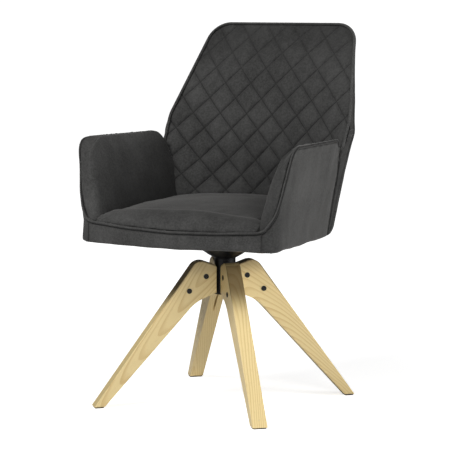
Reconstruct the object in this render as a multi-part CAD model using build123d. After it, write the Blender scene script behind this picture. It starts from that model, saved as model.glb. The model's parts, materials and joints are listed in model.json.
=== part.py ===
from build123d import *
import os

# Swivel dining chair: an upholstered tub seat with two arms and a quilted back,
# which turns on a base of four splayed wooden legs bolted round a steel column.
# Sizes are in millimetres. The chair faces -Y and +Z is up. Every piece is built
# round the swivel axis, and the whole is then moved so that the origin lies on
# the floor in the middle of the footprint.

# ---------------------------------------------------------------- clearances
CLOTH_GAP = 0.3            # between padded pieces that lie against each other
PRESS_GAP = 0.15           # round plugs, sleeves and bolts in their holes
RUNNING_GAP = 0.08         # between the spindle and its bushes, on the radius
TURNING_GAP = 0.4          # between the parts that turn and the base

# ---------------------------------------------------------------- legs
LEG_THICKNESS = 35.0
LEG_EDGE_ROUND = 1.5
GLIDE_THICKNESS = 3.0
FOOT_OUTER_RADIUS = 320.0  # from the swivel axis, on the floor
FOOT_SOLE_WIDTH = 25.0     # of the foot's flat end, measured outwards from the axis
FOOT_INNER_RADIUS = FOOT_OUTER_RADIUS - FOOT_SOLE_WIDTH
COLUMN_RADIUS = 24.0
LEG_TO_COLUMN_GAP = 0.4
LEG_HEEL_HEIGHT = 264.5    # lower end of the edge that stands along the column
LEG_SHOULDER_HEIGHT = 329.0
LEG_CROWN_RADIUS_AT = 71.0  # where the head's outer corner would be if it were sharp
LEG_CROWN_HEIGHT = 345.6
LEG_CROWN_ROUND = 28.0
LEG_SHOULDER_ROUND = 8.0
LEG_ARCH_RADIUS_AT = 75.6  # where the underside bends down towards the foot
LEG_ARCH_HEIGHT = 243.0
LEG_ARCH_ROUND = 90.0
LEG_HEEL_ROUND = 2.0
LEG_ANGLES = {"front_right": -45.0, "rear_right": 45.0, "rear_left": 135.0, "front_left": 225.0}

GLIDE_INSET = 2.0
GLIDE_CORNER = 3.0
GLIDE_SCREW_RADIUS = 1.75
GLIDE_SCREW_HEAD_RADIUS = 3.5
GLIDE_SCREW_HEAD_HEIGHT = 1.0
GLIDE_SCREW_SEAT = 1.5      # height of the face that the head bears on
GLIDE_SCREW_REACH = 16.5    # of the shank above that face

# ---------------------------------------------------------------- fins and leg bolts
FIN_THICKNESS = 4.0
KERF_WIDTH = 4.6
FIN_LOW = 268.0
FIN_HIGH = 326.0
FIN_SHOULDER = 56.0        # radius where the top edge starts to fall
FIN_REACH = 113.0
FIN_TIP_HIGH = 256.0
FIN_TIP_LOW = 236.0
FIN_HEEL = 70.0            # radius where the lower edge bends
FIN_HEEL_SLOPE = 0.3
FIN_TIP_CHAMFER = 8.0
KERF_MARGIN = 4.0
BOLT_PLACES = [(50.1, 303.8), (90.9, 270.2)]   # radius and height of each bolt
BOLT_SHANK_RADIUS = 3.0
BOLT_HEAD_RADIUS = 6.2
BOLT_HEAD_HEIGHT = 2.6
BOLT_HEAD_PROUD = 1.2      # how far a head stands out of the wood
BOLT_SOCKET_RADIUS = 2.3
BOLT_SOCKET_DEPTH = 1.6
BOLT_SHANK_LENGTH = 19.0
SLEEVE_RADIUS = 4.0
SLEEVE_LENGTH = 20.0
SLEEVE_BORE_DEPTH = 12.0

# ---------------------------------------------------------------- column and bearing
COLUMN_WALL = 2.5
COLUMN_LOW = 262.0
COLUMN_HIGH = 334.0
CAP_RIM_RADIUS = 25.5
CAP_RIM_HEIGHT = 2.5
CAP_PLUG_LENGTH = 5.0
COLLAR_RADIUS = 25.2
COLLAR_SKIRT_LOW = 330.0
COLLAR_PLUG_LOW = 318.0
COLLAR_HIGH = 341.5
BUSH_OUTER_RADIUS = 15.0
BUSH_LENGTH = 20.0
BUSH_FLANGE_RADIUS = 18.0
BUSH_FLANGE_HEIGHT = 1.5
LOWER_BUSH_LOW = 274.0
LOWER_BUSH_HEIGHT = 18.0
SPINDLE_RADIUS = 10.0
SPINDLE_LOW = 269.0
RING_GROOVE_RADIUS = 9.0
RING_LOW = 270.0
RING_THICKNESS = 1.5
RING_OUTER_RADIUS = 13.0
RING_SLOT = 10.0
WASHER_RADIUS = 17.0
WASHER_THICKNESS = 2.0
BALL_COUNT = 12
BALL_RADIUS = 2.5
BALL_CIRCLE_RADIUS = 17.6
BALL_CENTRE_HEIGHT = 346.3
BALL_GROOVE_RADIUS = 2.8
BALL_POCKET_GAP = 0.25
RACE_FACE_OFFSET = 1.8     # from the ball centres to the face of each race
RACE_INNER_RADIUS = 13.5
RACE_OUTER_RADIUS = 21.5
CAGE_THICKNESS = 2.4
CAGE_INNER_RADIUS = 14.2
CAGE_OUTER_RADIUS = 20.8

# ---------------------------------------------------------------- swivel dish and seat plate
DISH_WALL = 2.5
DISH_NECK_HEIGHT = 3.2
DISH_WAIST_RADIUS = 43.0
DISH_WAIST_HEIGHT = 355.5
DISH_RIM_RADIUS = 86.0
DISH_RIM_LAND = 3.0
DISH_HUB_THICKNESS = 4.0
PLATE_SIDE = 172.0
PLATE_CORNER = 12.0
PLATE_THICKNESS = 4.0
PLATE_BOLT_SPACING = 140.0
PLATE_BOLT_RADIUS = 4.0
PLATE_BOLT_HEAD_RADIUS = 7.5
PLATE_BOLT_HEAD_HEIGHT = 5.0
TEE_NUT_RADIUS = 5.2
TEE_NUT_FLANGE_RADIUS = 11.0
TEE_NUT_FLANGE_HEIGHT = 1.5

# ---------------------------------------------------------------- seat board
SHELL_LOW = 392.0          # lowest edge of the upholstery
BOARD_LOW = 394.0
BOARD_THICKNESS = 12.0
BOARD_FRONT = -214.0
BOARD_REAR = 188.0
BOARD_CORNER = 12.0
RAIL_HEIGHT = 18.0
RAIL_DEPTH = 15.0
RAIL_INSET = 6.0
DUST_COVER_THICKNESS = 1.0
DUST_COVER_INSET = 14.0
RAIL_SCREW_RADIUS = 1.8
RAIL_SCREW_HEAD_RADIUS = 3.6
RAIL_SCREW_HEAD_HEIGHT = 2.0
RAIL_SCREW_LENGTH = 24.0
RAIL_SCREW_COUNT = 4

# ---------------------------------------------------------------- arms
# height, outer face at the front (x, y), outer face at the rear (x, y),
# thickness at the front, thickness at the rear
ARM_SECTIONS = [
    (392.0, (243.5, -226.0), (188.0, 155.0), 40.0, 14.0),
    (477.0, (260.0, -218.0), (211.5, 139.0), 42.0, 16.0),
    (543.0, (275.0, -205.5), (230.0, 128.0), 38.0, 15.0),
    (629.0, (288.0, -185.0), (254.0, 100.0), 21.0, 10.0),
]
ARM_FRONT_ROUND_SHARE = 0.45   # of the arm's thickness, on the inner front edge
ARM_TOP_FRONT_ROUND = 28.0
ARM_TOP_REAR_ROUND = 15.0
ARM_SKIN = 3.5
ARM_CORE = 8.0
ARM_CORE_TOP = 590.0
ARM_CORE_FRONT_INSET = 24.0
ARM_CORE_REAR_INSET = 45.0
ARM_SCREW_RADIUS = 2.0
ARM_SCREW_HEAD_RADIUS = 4.0
ARM_SCREW_HEAD_HEIGHT = 2.2
ARM_SCREW_SINK = 1.5           # of the head below the panel's leaning face
ARM_SCREW_LENGTH = 34.0
ARM_SCREW_PLACES = [-150.0, -20.0, 90.0]

# ---------------------------------------------------------------- front apron
APRON_MIDDLE_FRONT = -245.0
APRON_CORNER_FRONT = -229.0
APRON_CORNER_ROUND = 18.0
APRON_RETURN_REAR = -203.0     # how far its ends come back along the sides
APRON_MIDDLE_HIGH = 430.0      # the top edge dips in the middle
APRON_CORNER_HIGH = 441.0
APRON_CORNER_AT = 236.0

# ---------------------------------------------------------------- cushion
CUSHION_LIP_MIDDLE = 434.0     # height where the front lip starts to round over
CUSHION_LIP_SIDE = 443.0
CUSHION_SHOULDER_DEPTH = 62.0  # from the front to the end of the lip's curve
CUSHION_SHOULDER_MIDDLE = 474.0
CUSHION_SHOULDER_SIDE = 459.0
CUSHION_CROWN_MIDDLE = 485.0
CUSHION_CROWN_SIDE = 468.0
CUSHION_REAR_MIDDLE = 477.0
CUSHION_REAR_SIDE = 469.0
CUSHION_CROWN_AT = -30.0
CUSHION_LIP_REACH = 0.28       # share of the lip's depth where it has already risen
CUSHION_LIP_RISE = 0.66        # by this share of its height
CUSHION_QUARTER_SHARE = 0.3    # how far the height has fallen halfway to the side
CUSHION_HALF_WIDTH = 214.0     # of the lip at the front, between the arms
CUSHION_WAIST = 4.0            # how far the sides draw in between the corners

# ---------------------------------------------------------------- back
BACK_LOW_HALF_WIDTH = 188.0
BACK_WIDE_HALF_WIDTH = 257.0
BACK_WIDE_HEIGHT = 640.0
BACK_TOP_HALF_WIDTH = 196.0
BACK_HIGH = 893.0
BACK_TOP_CORNER = 58.0
BACK_SIDE_CORNER = 60.0
# height, front face in the middle and at the edge, rear face in the middle and at the edge
BACK_SECTIONS = [
    (392.0, 158.0, 100.0, 224.0, 192.0),
    (475.0, 160.0, 84.0, 224.0, 181.0),
    (560.0, 170.0, 106.0, 226.0, 172.0),
    (640.0, 181.0, 137.0, 232.0, 174.0),
    (720.0, 200.0, 184.0, 244.0, 209.0),
    (800.0, 228.0, 230.0, 264.0, 245.0),
    (897.0, 285.0, 288.0, 307.0, 302.0),
]
BACK_SECTION_MARGIN = 25.0     # the sections run past the sides, which are cut afterwards
BACK_PAD_SHARE = 0.5           # of the thickness, in front of the bent panel
BACK_CORE_SHARE = 0.2
BACK_PAD_LOW = 425.0
BACK_CORE_INSET = 20.0
BACK_CORE_HIGH = 800.0
BACK_SCREW_PLACES = [-120.0, -40.0, 40.0, 120.0]
BACK_SCREW_RADIUS = 2.0
BACK_SCREW_HEAD_RADIUS = 4.0
BACK_SCREW_HEAD_HEIGHT = 2.2
BACK_SCREW_SINK = 3.0          # of the head below the panel's rear face
BACK_SCREW_LENGTH = 26.0

# ---------------------------------------------------------------- quilting and piping
DIAMOND_WIDTH = 71.0
DIAMOND_HEIGHT = 74.0
DIAMOND_OFFSET = 18.0          # of the diamonds' middle line from the chair's middle
QUILT_LOW = 378.0              # height of a crossing on that line, below the back
QUILT_MARGIN = 40.0            # how far the net of diamonds runs past the top
STITCH_DEPTH = 3.0
PIPING_RADIUS = 3.2
ARM_PIPING_REAR = (253.0, 88.0, 628.0)
ARM_PIPING_TOP = (288.0, -185.0, 629.0)
ARM_PIPING_LOW = (263.0, -216.0, 486.0)
SEAT_PIPING_CORNER = (236.0, -231.0, 441.5)
SEAT_PIPING_QUARTER = (120.0, -242.5, 434.0)
SEAT_PIPING_MIDDLE = (0.0, -245.0, 430.5)
ARM_PIPING_TOP_ROUND = 27.0
ARM_PIPING_LOW_ROUND = 80.0
SEAT_PIPING_CORNER_ROUND = 26.0
SEAT_PIPING_QUARTER_ROUND = 300.0
SEAT_PIPING_MIDDLE_ROUND = 300.0
BACK_PIPING_LOW_HEIGHT = 606.0
BACK_PIPING_CORNER_ROUND = 56.0
BACK_PIPING_SIDE_ROUND = 100.0
BACK_PIPING_BEND_HEIGHT = 670.0

# ---------------------------------------------------------------- worked out from the above
LEG_INNER_RADIUS = COLUMN_RADIUS + LEG_TO_COLUMN_GAP
ARM_CORE_OUTER = ARM_SKIN + CLOTH_GAP       # depths of the plywood's faces in the arm
ARM_CORE_INNER = ARM_CORE_OUTER + ARM_CORE
BOARD_HIGH = BOARD_LOW + BOARD_THICKNESS
RAIL_HIGH = BOARD_HIGH + RAIL_HEIGHT
PLATE_HIGH = BOARD_LOW - DUST_COVER_THICKNESS
PLATE_LOW = PLATE_HIGH - PLATE_THICKNESS
COLUMN_INNER_RADIUS = COLUMN_RADIUS - COLUMN_WALL
FAR = 1000.0                   # well past the chair, for cutting shapes
CUT_OVER = 1.0                 # how far a cut runs past the face it starts from


# ---------------------------------------------------------------- helpers
def outline(points, radii):
    """A closed flat shape through the points, each corner rounded by its own radius."""
    return make_face(FilletPolyline(*points, radius=radii, close=True))


def turned(points):
    """A solid of revolution from an outline of (radius, height) points."""
    return revolve(Plane.XZ * make_face(Polyline(*points, close=True)), Axis.Z)


def ring(inner, outer, low, high):
    """A round plate or tube between two radii and two heights."""
    tube = Pos(0, 0, (low + high) / 2) * Cylinder(outer, high - low)
    if inner > 0:
        tube -= Pos(0, 0, (low + high) / 2) * Cylinder(inner, high - low + 2 * CUT_OVER)
    return tube


def rod_along_y(radius, start, end):
    """A round rod parallel to Y that runs from start to end."""
    return Pos(0, (start + end) / 2, 0) * Rot(90, 0, 0) * Cylinder(radius, abs(end - start))


def rod_along_x(radius, start, end):
    """A round rod parallel to X that runs from start to end."""
    return Pos((start + end) / 2, 0, 0) * Rot(0, 90, 0) * Cylinder(radius, abs(end - start))


def mirrored(shape):
    """The same shape on the other side of the chair."""
    return mirror(shape, about=Plane.YZ)


def between(table, height, column):
    """A value from a table of sections, read at any height."""
    for lower, upper in zip(table, table[1:]):
        if height <= upper[0] or upper is table[-1]:
            share = (height - lower[0]) / (upper[0] - lower[0])
            low, high = lower[column], upper[column]
            if isinstance(low, tuple):
                return tuple(a + (b - a) * share for a, b in zip(low, high))
            return low + (high - low) * share


def box_between(low, high):
    """A box from its lowest to its highest corner."""
    size = [h - l for l, h in zip(low, high)]
    middle = [(h + l) / 2 for l, h in zip(low, high)]
    return Pos(*middle) * Box(*size)


# ---------------------------------------------------------------- base
def leg_profile():
    """Side view of a leg, as (distance from the axis, height)."""
    points = [
        (LEG_INNER_RADIUS, LEG_HEEL_HEIGHT),
        (LEG_ARCH_RADIUS_AT, LEG_ARCH_HEIGHT),
        (FOOT_INNER_RADIUS, GLIDE_THICKNESS),
        (FOOT_OUTER_RADIUS, GLIDE_THICKNESS),
        (LEG_CROWN_RADIUS_AT, LEG_CROWN_HEIGHT),
        (LEG_INNER_RADIUS, LEG_SHOULDER_HEIGHT),
    ]
    radii = [LEG_HEEL_ROUND, LEG_ARCH_ROUND, 0, 0, LEG_CROWN_ROUND, LEG_SHOULDER_ROUND]
    return outline(points, radii)


def fin_points():
    """Side view of a fin: a plate that tapers towards its tip."""
    return [
        (COLUMN_RADIUS, FIN_LOW),
        (FIN_HEEL, FIN_LOW - (FIN_HEEL - COLUMN_RADIUS) * FIN_HEEL_SLOPE),
        (FIN_REACH - FIN_TIP_CHAMFER, FIN_TIP_LOW),
        (FIN_REACH, FIN_TIP_HIGH),
        (FIN_SHOULDER, FIN_HIGH),
        (COLUMN_RADIUS, FIN_HIGH),
    ]


def leg_kerf():
    """The saw cut that takes the fin, open along the inner edge and the underside."""
    top = FIN_HIGH + KERF_MARGIN
    points = [
        (0, 0),
        (0, top),
        (FIN_SHOULDER + KERF_MARGIN / 2, top),
        (FIN_REACH + KERF_MARGIN, FIN_TIP_HIGH + KERF_MARGIN),
        (FIN_REACH + KERF_MARGIN, 0),
    ]
    return extrude(Plane.XZ * make_face(Polyline(*points, close=True)), KERF_WIDTH / 2, both=True)


def bolt_tool(radius, start, end):
    """Round cutters at both bolt places, parallel to the leg's thickness."""
    return Compound([Pos(r, 0, z) * rod_along_y(radius, start, end) for r, z in BOLT_PLACES])


def leg():
    """One leg, standing in the plane that runs outwards along +X."""
    half = LEG_THICKNESS / 2
    seat = half - (BOLT_HEAD_HEIGHT - BOLT_HEAD_PROUD)
    body = extrude(Plane.XZ * leg_profile(), half, both=True)
    faces = body.faces().filter_by(Axis.Y)
    body = fillet(faces.edges(), LEG_EDGE_ROUND)
    body -= leg_kerf()
    body -= bolt_tool(SLEEVE_RADIUS + PRESS_GAP, -half - CUT_OVER, half + CUT_OVER)
    for side in (-1, 1):
        body -= bolt_tool(BOLT_HEAD_RADIUS + PRESS_GAP, side * seat, side * (half + CUT_OVER))
    middle = (FOOT_INNER_RADIUS + FOOT_OUTER_RADIUS) / 2
    screw_top = GLIDE_SCREW_SEAT + GLIDE_SCREW_REACH
    body -= Pos(middle, 0, 0) * ring(0, GLIDE_SCREW_RADIUS + PRESS_GAP, 0, screw_top + CUT_OVER)
    return body


def fin():
    """One fin with its two bolt holes, standing in the same plane as its leg."""
    shape = Plane.XZ * make_face(Polyline(*fin_points(), close=True))
    plate = extrude(shape, FIN_THICKNESS / 2, both=True)
    return plate - bolt_tool(SLEEVE_RADIUS + PRESS_GAP, -FIN_THICKNESS, FIN_THICKNESS)


def leg_bolts():
    """Both bolts of one leg: a round head with a socket, and a shank."""
    half = LEG_THICKNESS / 2
    seat = half - (BOLT_HEAD_HEIGHT - BOLT_HEAD_PROUD)
    top = half + BOLT_HEAD_PROUD
    head = rod_along_y(BOLT_HEAD_RADIUS, -seat, -top)
    head -= rod_along_y(BOLT_SOCKET_RADIUS, -top - CUT_OVER, -top + BOLT_SOCKET_DEPTH)
    bolt = head + rod_along_y(BOLT_SHANK_RADIUS, -seat, -seat + BOLT_SHANK_LENGTH)
    return [Pos(r, 0, z) * bolt for r, z in BOLT_PLACES]


def sleeve_nuts():
    """Both sleeve nuts of one leg, which take the bolts from the far side."""
    half = LEG_THICKNESS / 2
    seat = half - (BOLT_HEAD_HEIGHT - BOLT_HEAD_PROUD)
    top = half + BOLT_HEAD_PROUD
    end = seat - SLEEVE_LENGTH
    nut = rod_along_y(BOLT_HEAD_RADIUS, seat, top) + rod_along_y(SLEEVE_RADIUS, seat, end)
    nut -= rod_along_y(BOLT_SHANK_RADIUS + PRESS_GAP, end - CUT_OVER, end + SLEEVE_BORE_DEPTH)
    nut -= rod_along_y(BOLT_SOCKET_RADIUS, top + CUT_OVER, top - BOLT_SOCKET_DEPTH)
    return [Pos(r, 0, z) * nut for r, z in BOLT_PLACES]


def glide():
    """A thin pad under the foot, a little smaller than the foot, with a screw hole."""
    length = FOOT_OUTER_RADIUS - FOOT_INNER_RADIUS - 2 * GLIDE_INSET
    width = LEG_THICKNESS - 2 * GLIDE_INSET
    middle = (FOOT_INNER_RADIUS + FOOT_OUTER_RADIUS) / 2
    pad = Pos(middle, 0, 0) * extrude(RectangleRounded(length, width, GLIDE_CORNER), GLIDE_THICKNESS)
    hole = ring(0, GLIDE_SCREW_RADIUS + PRESS_GAP, -CUT_OVER, GLIDE_THICKNESS + CUT_OVER)
    hole += ring(0, GLIDE_SCREW_HEAD_RADIUS + PRESS_GAP, -CUT_OVER, GLIDE_SCREW_SEAT)
    return pad - Pos(middle, 0, 0) * hole


def glide_screw():
    """The screw that holds a glide, its head sunk into the pad."""
    middle = (FOOT_INNER_RADIUS + FOOT_OUTER_RADIUS) / 2
    seat = GLIDE_SCREW_SEAT
    head = ring(0, GLIDE_SCREW_HEAD_RADIUS, seat - GLIDE_SCREW_HEAD_HEIGHT, seat)
    shank = ring(0, GLIDE_SCREW_RADIUS, seat, seat + GLIDE_SCREW_REACH)
    return Pos(middle, 0, 0) * (head + shank)


def centre_column():
    """The tube that stands between the leg heads."""
    return ring(COLUMN_INNER_RADIUS, COLUMN_RADIUS, COLUMN_LOW, COLUMN_HIGH)


def column_end_cap():
    """The plug with a rim that closes the tube's lower end."""
    rim = ring(0, CAP_RIM_RADIUS, COLUMN_LOW - CAP_RIM_HEIGHT, COLUMN_LOW)
    plug = ring(0, COLUMN_INNER_RADIUS - PRESS_GAP, COLUMN_LOW, COLUMN_LOW + CAP_PLUG_LENGTH)
    return rim + plug


def neck_collar():
    """The collar on the tube's upper end, which holds the upper bush."""
    bore = BUSH_OUTER_RADIUS + PRESS_GAP
    plug = COLUMN_INNER_RADIUS - PRESS_GAP
    sleeve = COLUMN_RADIUS + PRESS_GAP
    flange = BUSH_FLANGE_RADIUS + PRESS_GAP
    flange_low = COLLAR_HIGH - BUSH_FLANGE_HEIGHT
    return turned([
        (bore, COLLAR_PLUG_LOW), (plug, COLLAR_PLUG_LOW), (plug, COLUMN_HIGH), (sleeve, COLUMN_HIGH),
        (sleeve, COLLAR_SKIRT_LOW), (COLLAR_RADIUS, COLLAR_SKIRT_LOW), (COLLAR_RADIUS, COLLAR_HIGH),
        (flange, COLLAR_HIGH), (flange, flange_low), (bore, flange_low),
    ])


def upper_bush():
    """The flanged bush in the collar."""
    bore = SPINDLE_RADIUS + RUNNING_GAP
    body = ring(bore, BUSH_OUTER_RADIUS, COLLAR_HIGH - BUSH_LENGTH, COLLAR_HIGH)
    flange = ring(bore, BUSH_FLANGE_RADIUS, COLLAR_HIGH - BUSH_FLANGE_HEIGHT, COLLAR_HIGH)
    return body + flange


def lower_bush():
    """The bush that steadies the spindle's lower end in the tube."""
    bore = SPINDLE_RADIUS + RUNNING_GAP
    outer = COLUMN_INNER_RADIUS - PRESS_GAP
    return ring(bore, outer, LOWER_BUSH_LOW, LOWER_BUSH_LOW + LOWER_BUSH_HEIGHT)


# ---------------------------------------------------------------- thrust bearing
def ball_groove():
    """The round groove that both races share."""
    return Pos(0, 0, BALL_CENTRE_HEIGHT) * Torus(BALL_CIRCLE_RADIUS, BALL_GROOVE_RADIUS)


def lower_race():
    """The race that lies on the collar."""
    high = BALL_CENTRE_HEIGHT - RACE_FACE_OFFSET
    return ring(RACE_INNER_RADIUS, RACE_OUTER_RADIUS, COLLAR_HIGH, high) - ball_groove()


def upper_race():
    """The race under the dish's hub, as thick as the lower one."""
    low = BALL_CENTRE_HEIGHT + RACE_FACE_OFFSET
    return ring(RACE_INNER_RADIUS, RACE_OUTER_RADIUS, low, hub_low()) - ball_groove()


def hub_low():
    """Height of the face that the upper race bears on."""
    return 2 * BALL_CENTRE_HEIGHT - COLLAR_HIGH


def ball_places():
    """The places of the balls round their circle."""
    step = 360.0 / BALL_COUNT
    first = Pos(BALL_CIRCLE_RADIUS, 0, BALL_CENTRE_HEIGHT)
    return [Rot(0, 0, step * i) * first for i in range(BALL_COUNT)]


def ball_cage():
    """A flat ring with a pocket for each ball."""
    half = CAGE_THICKNESS / 2
    cage = ring(CAGE_INNER_RADIUS, CAGE_OUTER_RADIUS, BALL_CENTRE_HEIGHT - half, BALL_CENTRE_HEIGHT + half)
    for place in ball_places():
        cage -= place * Cylinder(BALL_RADIUS + BALL_POCKET_GAP, 2 * CAGE_THICKNESS)
    return cage


def bearing_balls():
    """The balls, each in its pocket."""
    return [place * Sphere(BALL_RADIUS) for place in ball_places()]


# ---------------------------------------------------------------- parts that turn under the seat
def spindle():
    """The shaft from the seat plate down through both bushes, grooved for its ring."""
    shaft = ring(0, SPINDLE_RADIUS, SPINDLE_LOW, PLATE_HIGH)
    groove = ring(RING_GROOVE_RADIUS, SPINDLE_RADIUS + CUT_OVER, RING_LOW, RING_LOW + RING_THICKNESS)
    return shaft - groove


def retaining_ring():
    """The split ring that keeps the spindle in the column."""
    high = RING_LOW + RING_THICKNESS
    body = ring(RING_GROOVE_RADIUS + PRESS_GAP, RING_OUTER_RADIUS, RING_LOW, high)
    half = RING_SLOT / 2
    return body - box_between((0, -half, RING_LOW - CUT_OVER), (FAR, half, high + CUT_OVER))


def spindle_washer():
    """The washer between the ring and the lower bush."""
    low = RING_LOW + RING_THICKNESS
    return ring(SPINDLE_RADIUS + RUNNING_GAP, WASHER_RADIUS, low, low + WASHER_THICKNESS)


def swivel_dish():
    """The flared cover over the bearing, with a hub round the spindle."""
    low = COLLAR_HIGH + TURNING_GAP
    inner = COLLAR_RADIUS - DISH_WALL
    bore = SPINDLE_RADIUS + PRESS_GAP
    hub_high = hub_low() + DISH_HUB_THICKNESS
    slope = (PLATE_LOW - DISH_RIM_LAND - DISH_WAIST_HEIGHT) / (DISH_RIM_RADIUS - DISH_WAIST_RADIUS)
    rim_inner = DISH_RIM_RADIUS - DISH_WALL
    rim_low = PLATE_LOW - DISH_RIM_LAND
    return turned([
        (inner, low), (COLLAR_RADIUS, low), (COLLAR_RADIUS, low + DISH_NECK_HEIGHT),
        (DISH_WAIST_RADIUS, DISH_WAIST_HEIGHT), (DISH_RIM_RADIUS, rim_low), (DISH_RIM_RADIUS, PLATE_LOW),
        (rim_inner, PLATE_LOW), (rim_inner, rim_low + DISH_WALL * (1 - slope) / 2),
        (DISH_WAIST_RADIUS - DISH_WALL / 2, DISH_WAIST_HEIGHT + DISH_WALL),
        (COLLAR_RADIUS, hub_high), (bore, hub_high), (bore, hub_low()), (inner, hub_low()),
    ])


def plate_bolt_places():
    """The corners where the seat plate is bolted to the board."""
    half = PLATE_BOLT_SPACING / 2
    return [Pos(x, y, 0) for x in (-half, half) for y in (-half, half)]


def mounting_plate():
    """The square steel plate under the seat board."""
    square = RectangleRounded(PLATE_SIDE, PLATE_SIDE, PLATE_CORNER)
    plate = Pos(0, 0, PLATE_LOW) * extrude(square, PLATE_THICKNESS)
    plate -= ring(0, SPINDLE_RADIUS + PRESS_GAP, PLATE_LOW - CUT_OVER, PLATE_HIGH + CUT_OVER)
    for place in plate_bolt_places():
        plate -= place * ring(0, PLATE_BOLT_RADIUS + PRESS_GAP, PLATE_LOW - CUT_OVER, PLATE_HIGH + CUT_OVER)
    return plate


def plate_bolts():
    """Four bolts from below, each up into its tee nut."""
    head = ring(0, PLATE_BOLT_HEAD_RADIUS, PLATE_LOW - PLATE_BOLT_HEAD_HEIGHT, PLATE_LOW)
    shank = ring(0, PLATE_BOLT_RADIUS, PLATE_LOW, BOARD_HIGH - TEE_NUT_FLANGE_HEIGHT)
    bolt = head + shank
    return [place * bolt for place in plate_bolt_places()]


def tee_nuts():
    """Four tee nuts pressed into the board from above."""
    low = BOARD_LOW + TEE_NUT_FLANGE_HEIGHT
    bore = PLATE_BOLT_RADIUS + PRESS_GAP
    barrel = ring(bore, TEE_NUT_RADIUS, low, BOARD_HIGH)
    flange = ring(bore, TEE_NUT_FLANGE_RADIUS, BOARD_HIGH - TEE_NUT_FLANGE_HEIGHT, BOARD_HIGH)
    return [place * (barrel + flange) for place in plate_bolt_places()]


# ---------------------------------------------------------------- arms
def arm_line(height, y):
    """Half width of the arm's outer face at a height and a place along the seat."""
    front_x, front_y = between(ARM_SECTIONS, height, 1)
    rear_x, rear_y = between(ARM_SECTIONS, height, 2)
    return front_x + (rear_x - front_x) * (y - front_y) / (rear_y - front_y)


def arm_plan(height, start, end, front_inset=0.0, rear_inset=0.0, grow=0.0):
    """One level of a layer of the arm, from start to end inwards from the outer face.

    An end of None is the arm's inner face, which rounds over at the front."""
    front_x, front_y = between(ARM_SECTIONS, height, 1)
    rear_x, rear_y = between(ARM_SECTIONS, height, 2)
    front_thick = between(ARM_SECTIONS, height, 3)
    rear_thick = between(ARM_SECTIONS, height, 4)
    y0, y1 = front_y + front_inset - grow, rear_y - rear_inset + grow
    x0, x1 = arm_line(height, y0), arm_line(height, y1)
    inner0, inner1 = (front_thick, rear_thick) if end is None else (end, end)
    bend = (front_thick if end is None else end - start) * ARM_FRONT_ROUND_SHARE
    points = [
        (x0 - start + grow, y0, height),
        (x1 - start + grow, y1, height),
        (x1 - inner1 - grow, y1, height),
        (x0 - inner0 - grow, y0, height),
    ]
    return make_face(FilletPolyline(*points, radius=[0, 0, 0, bend], close=True))


def arm_layer(start, end, heights, **options):
    """A layer of the right arm through several levels."""
    return loft([arm_plan(height, start, end, **options) for height in heights], ruled=True)


def arm_side_view(grow=0.0):
    """Side view of an arm, which rounds off both ends of its top, as a wide prism."""
    (h0, front0, rear0, _, _), (h1, front1, rear1, _, _) = ARM_SECTIONS[-2:]
    lean_front = (front1[1] - front0[1]) / (h1 - h0)
    lean_rear = (rear1[1] - rear0[1]) / (h1 - h0)
    low = SHELL_LOW - CUT_OVER - grow
    points = [
        (front1[1] - grow - lean_front * (h1 - low), low),
        (front1[1] - grow, h1 + grow),
        (rear1[1] + grow, h1 + grow),
        (rear1[1] + grow - lean_rear * (h1 - low), low),
    ]
    shape = outline(points, [0, ARM_TOP_FRONT_ROUND, ARM_TOP_REAR_ROUND, 0])
    return extrude(Plane.YZ * shape, FAR)


def arm_heights(low, high):
    """The section heights between two levels, with the levels themselves."""
    inside = [row[0] for row in ARM_SECTIONS if low < row[0] < high]
    return [low, *inside, high]


def arm_envelope(grow):
    """The whole right arm, a little larger, for cutting what lies against it."""
    heights = arm_heights(SHELL_LOW - grow, ARM_SECTIONS[-1][0] + grow)
    return arm_layer(0, None, heights, grow=grow) & arm_side_view(grow)


def arm_outer(cutters):
    """The right arm's outer panel."""
    skin = arm_layer(0, ARM_SKIN, arm_heights(SHELL_LOW, ARM_SECTIONS[-1][0]))
    return skin & arm_side_view() - cutters


def arm_core_solid(grow=0.0):
    """The plywood panel inside the right arm."""
    heights = arm_heights(BOARD_LOW - grow, ARM_CORE_TOP + grow)
    front, rear = ARM_CORE_FRONT_INSET, ARM_CORE_REAR_INSET
    plan = [
        arm_plan(h, ARM_CORE_OUTER, ARM_CORE_INNER, front_inset=front, rear_inset=rear, grow=grow)
        for h in heights
    ]
    return loft(plan, ruled=True)


def arm_pad(cutters):
    """The right arm's inner pad, wrapped over the panel's front and top."""
    low = BOARD_HIGH + CLOTH_GAP
    pad = arm_layer(ARM_SKIN + CLOTH_GAP, None, arm_heights(low, ARM_SECTIONS[-1][0]))
    pad = pad & arm_side_view()
    pad = pad - arm_core_solid(CLOTH_GAP) - cutters
    return pad.solids().sort_by(SortBy.VOLUME)[-1]


def arm_screws():
    """Screws through the right arm's panel into the edge of the seat board."""
    height = BOARD_LOW + BOARD_THICKNESS / 2
    screws = []
    for y in ARM_SCREW_PLACES:
        outer = arm_line(height, y) - ARM_SKIN - ARM_SCREW_SINK
        head = rod_along_x(ARM_SCREW_HEAD_RADIUS, outer - ARM_SCREW_HEAD_HEIGHT, outer)
        shank = rod_along_x(ARM_SCREW_RADIUS, outer - ARM_SCREW_LENGTH, outer - ARM_SCREW_HEAD_HEIGHT)
        screws.append(Pos(0, y, height) * (head + shank))
    return screws


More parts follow.
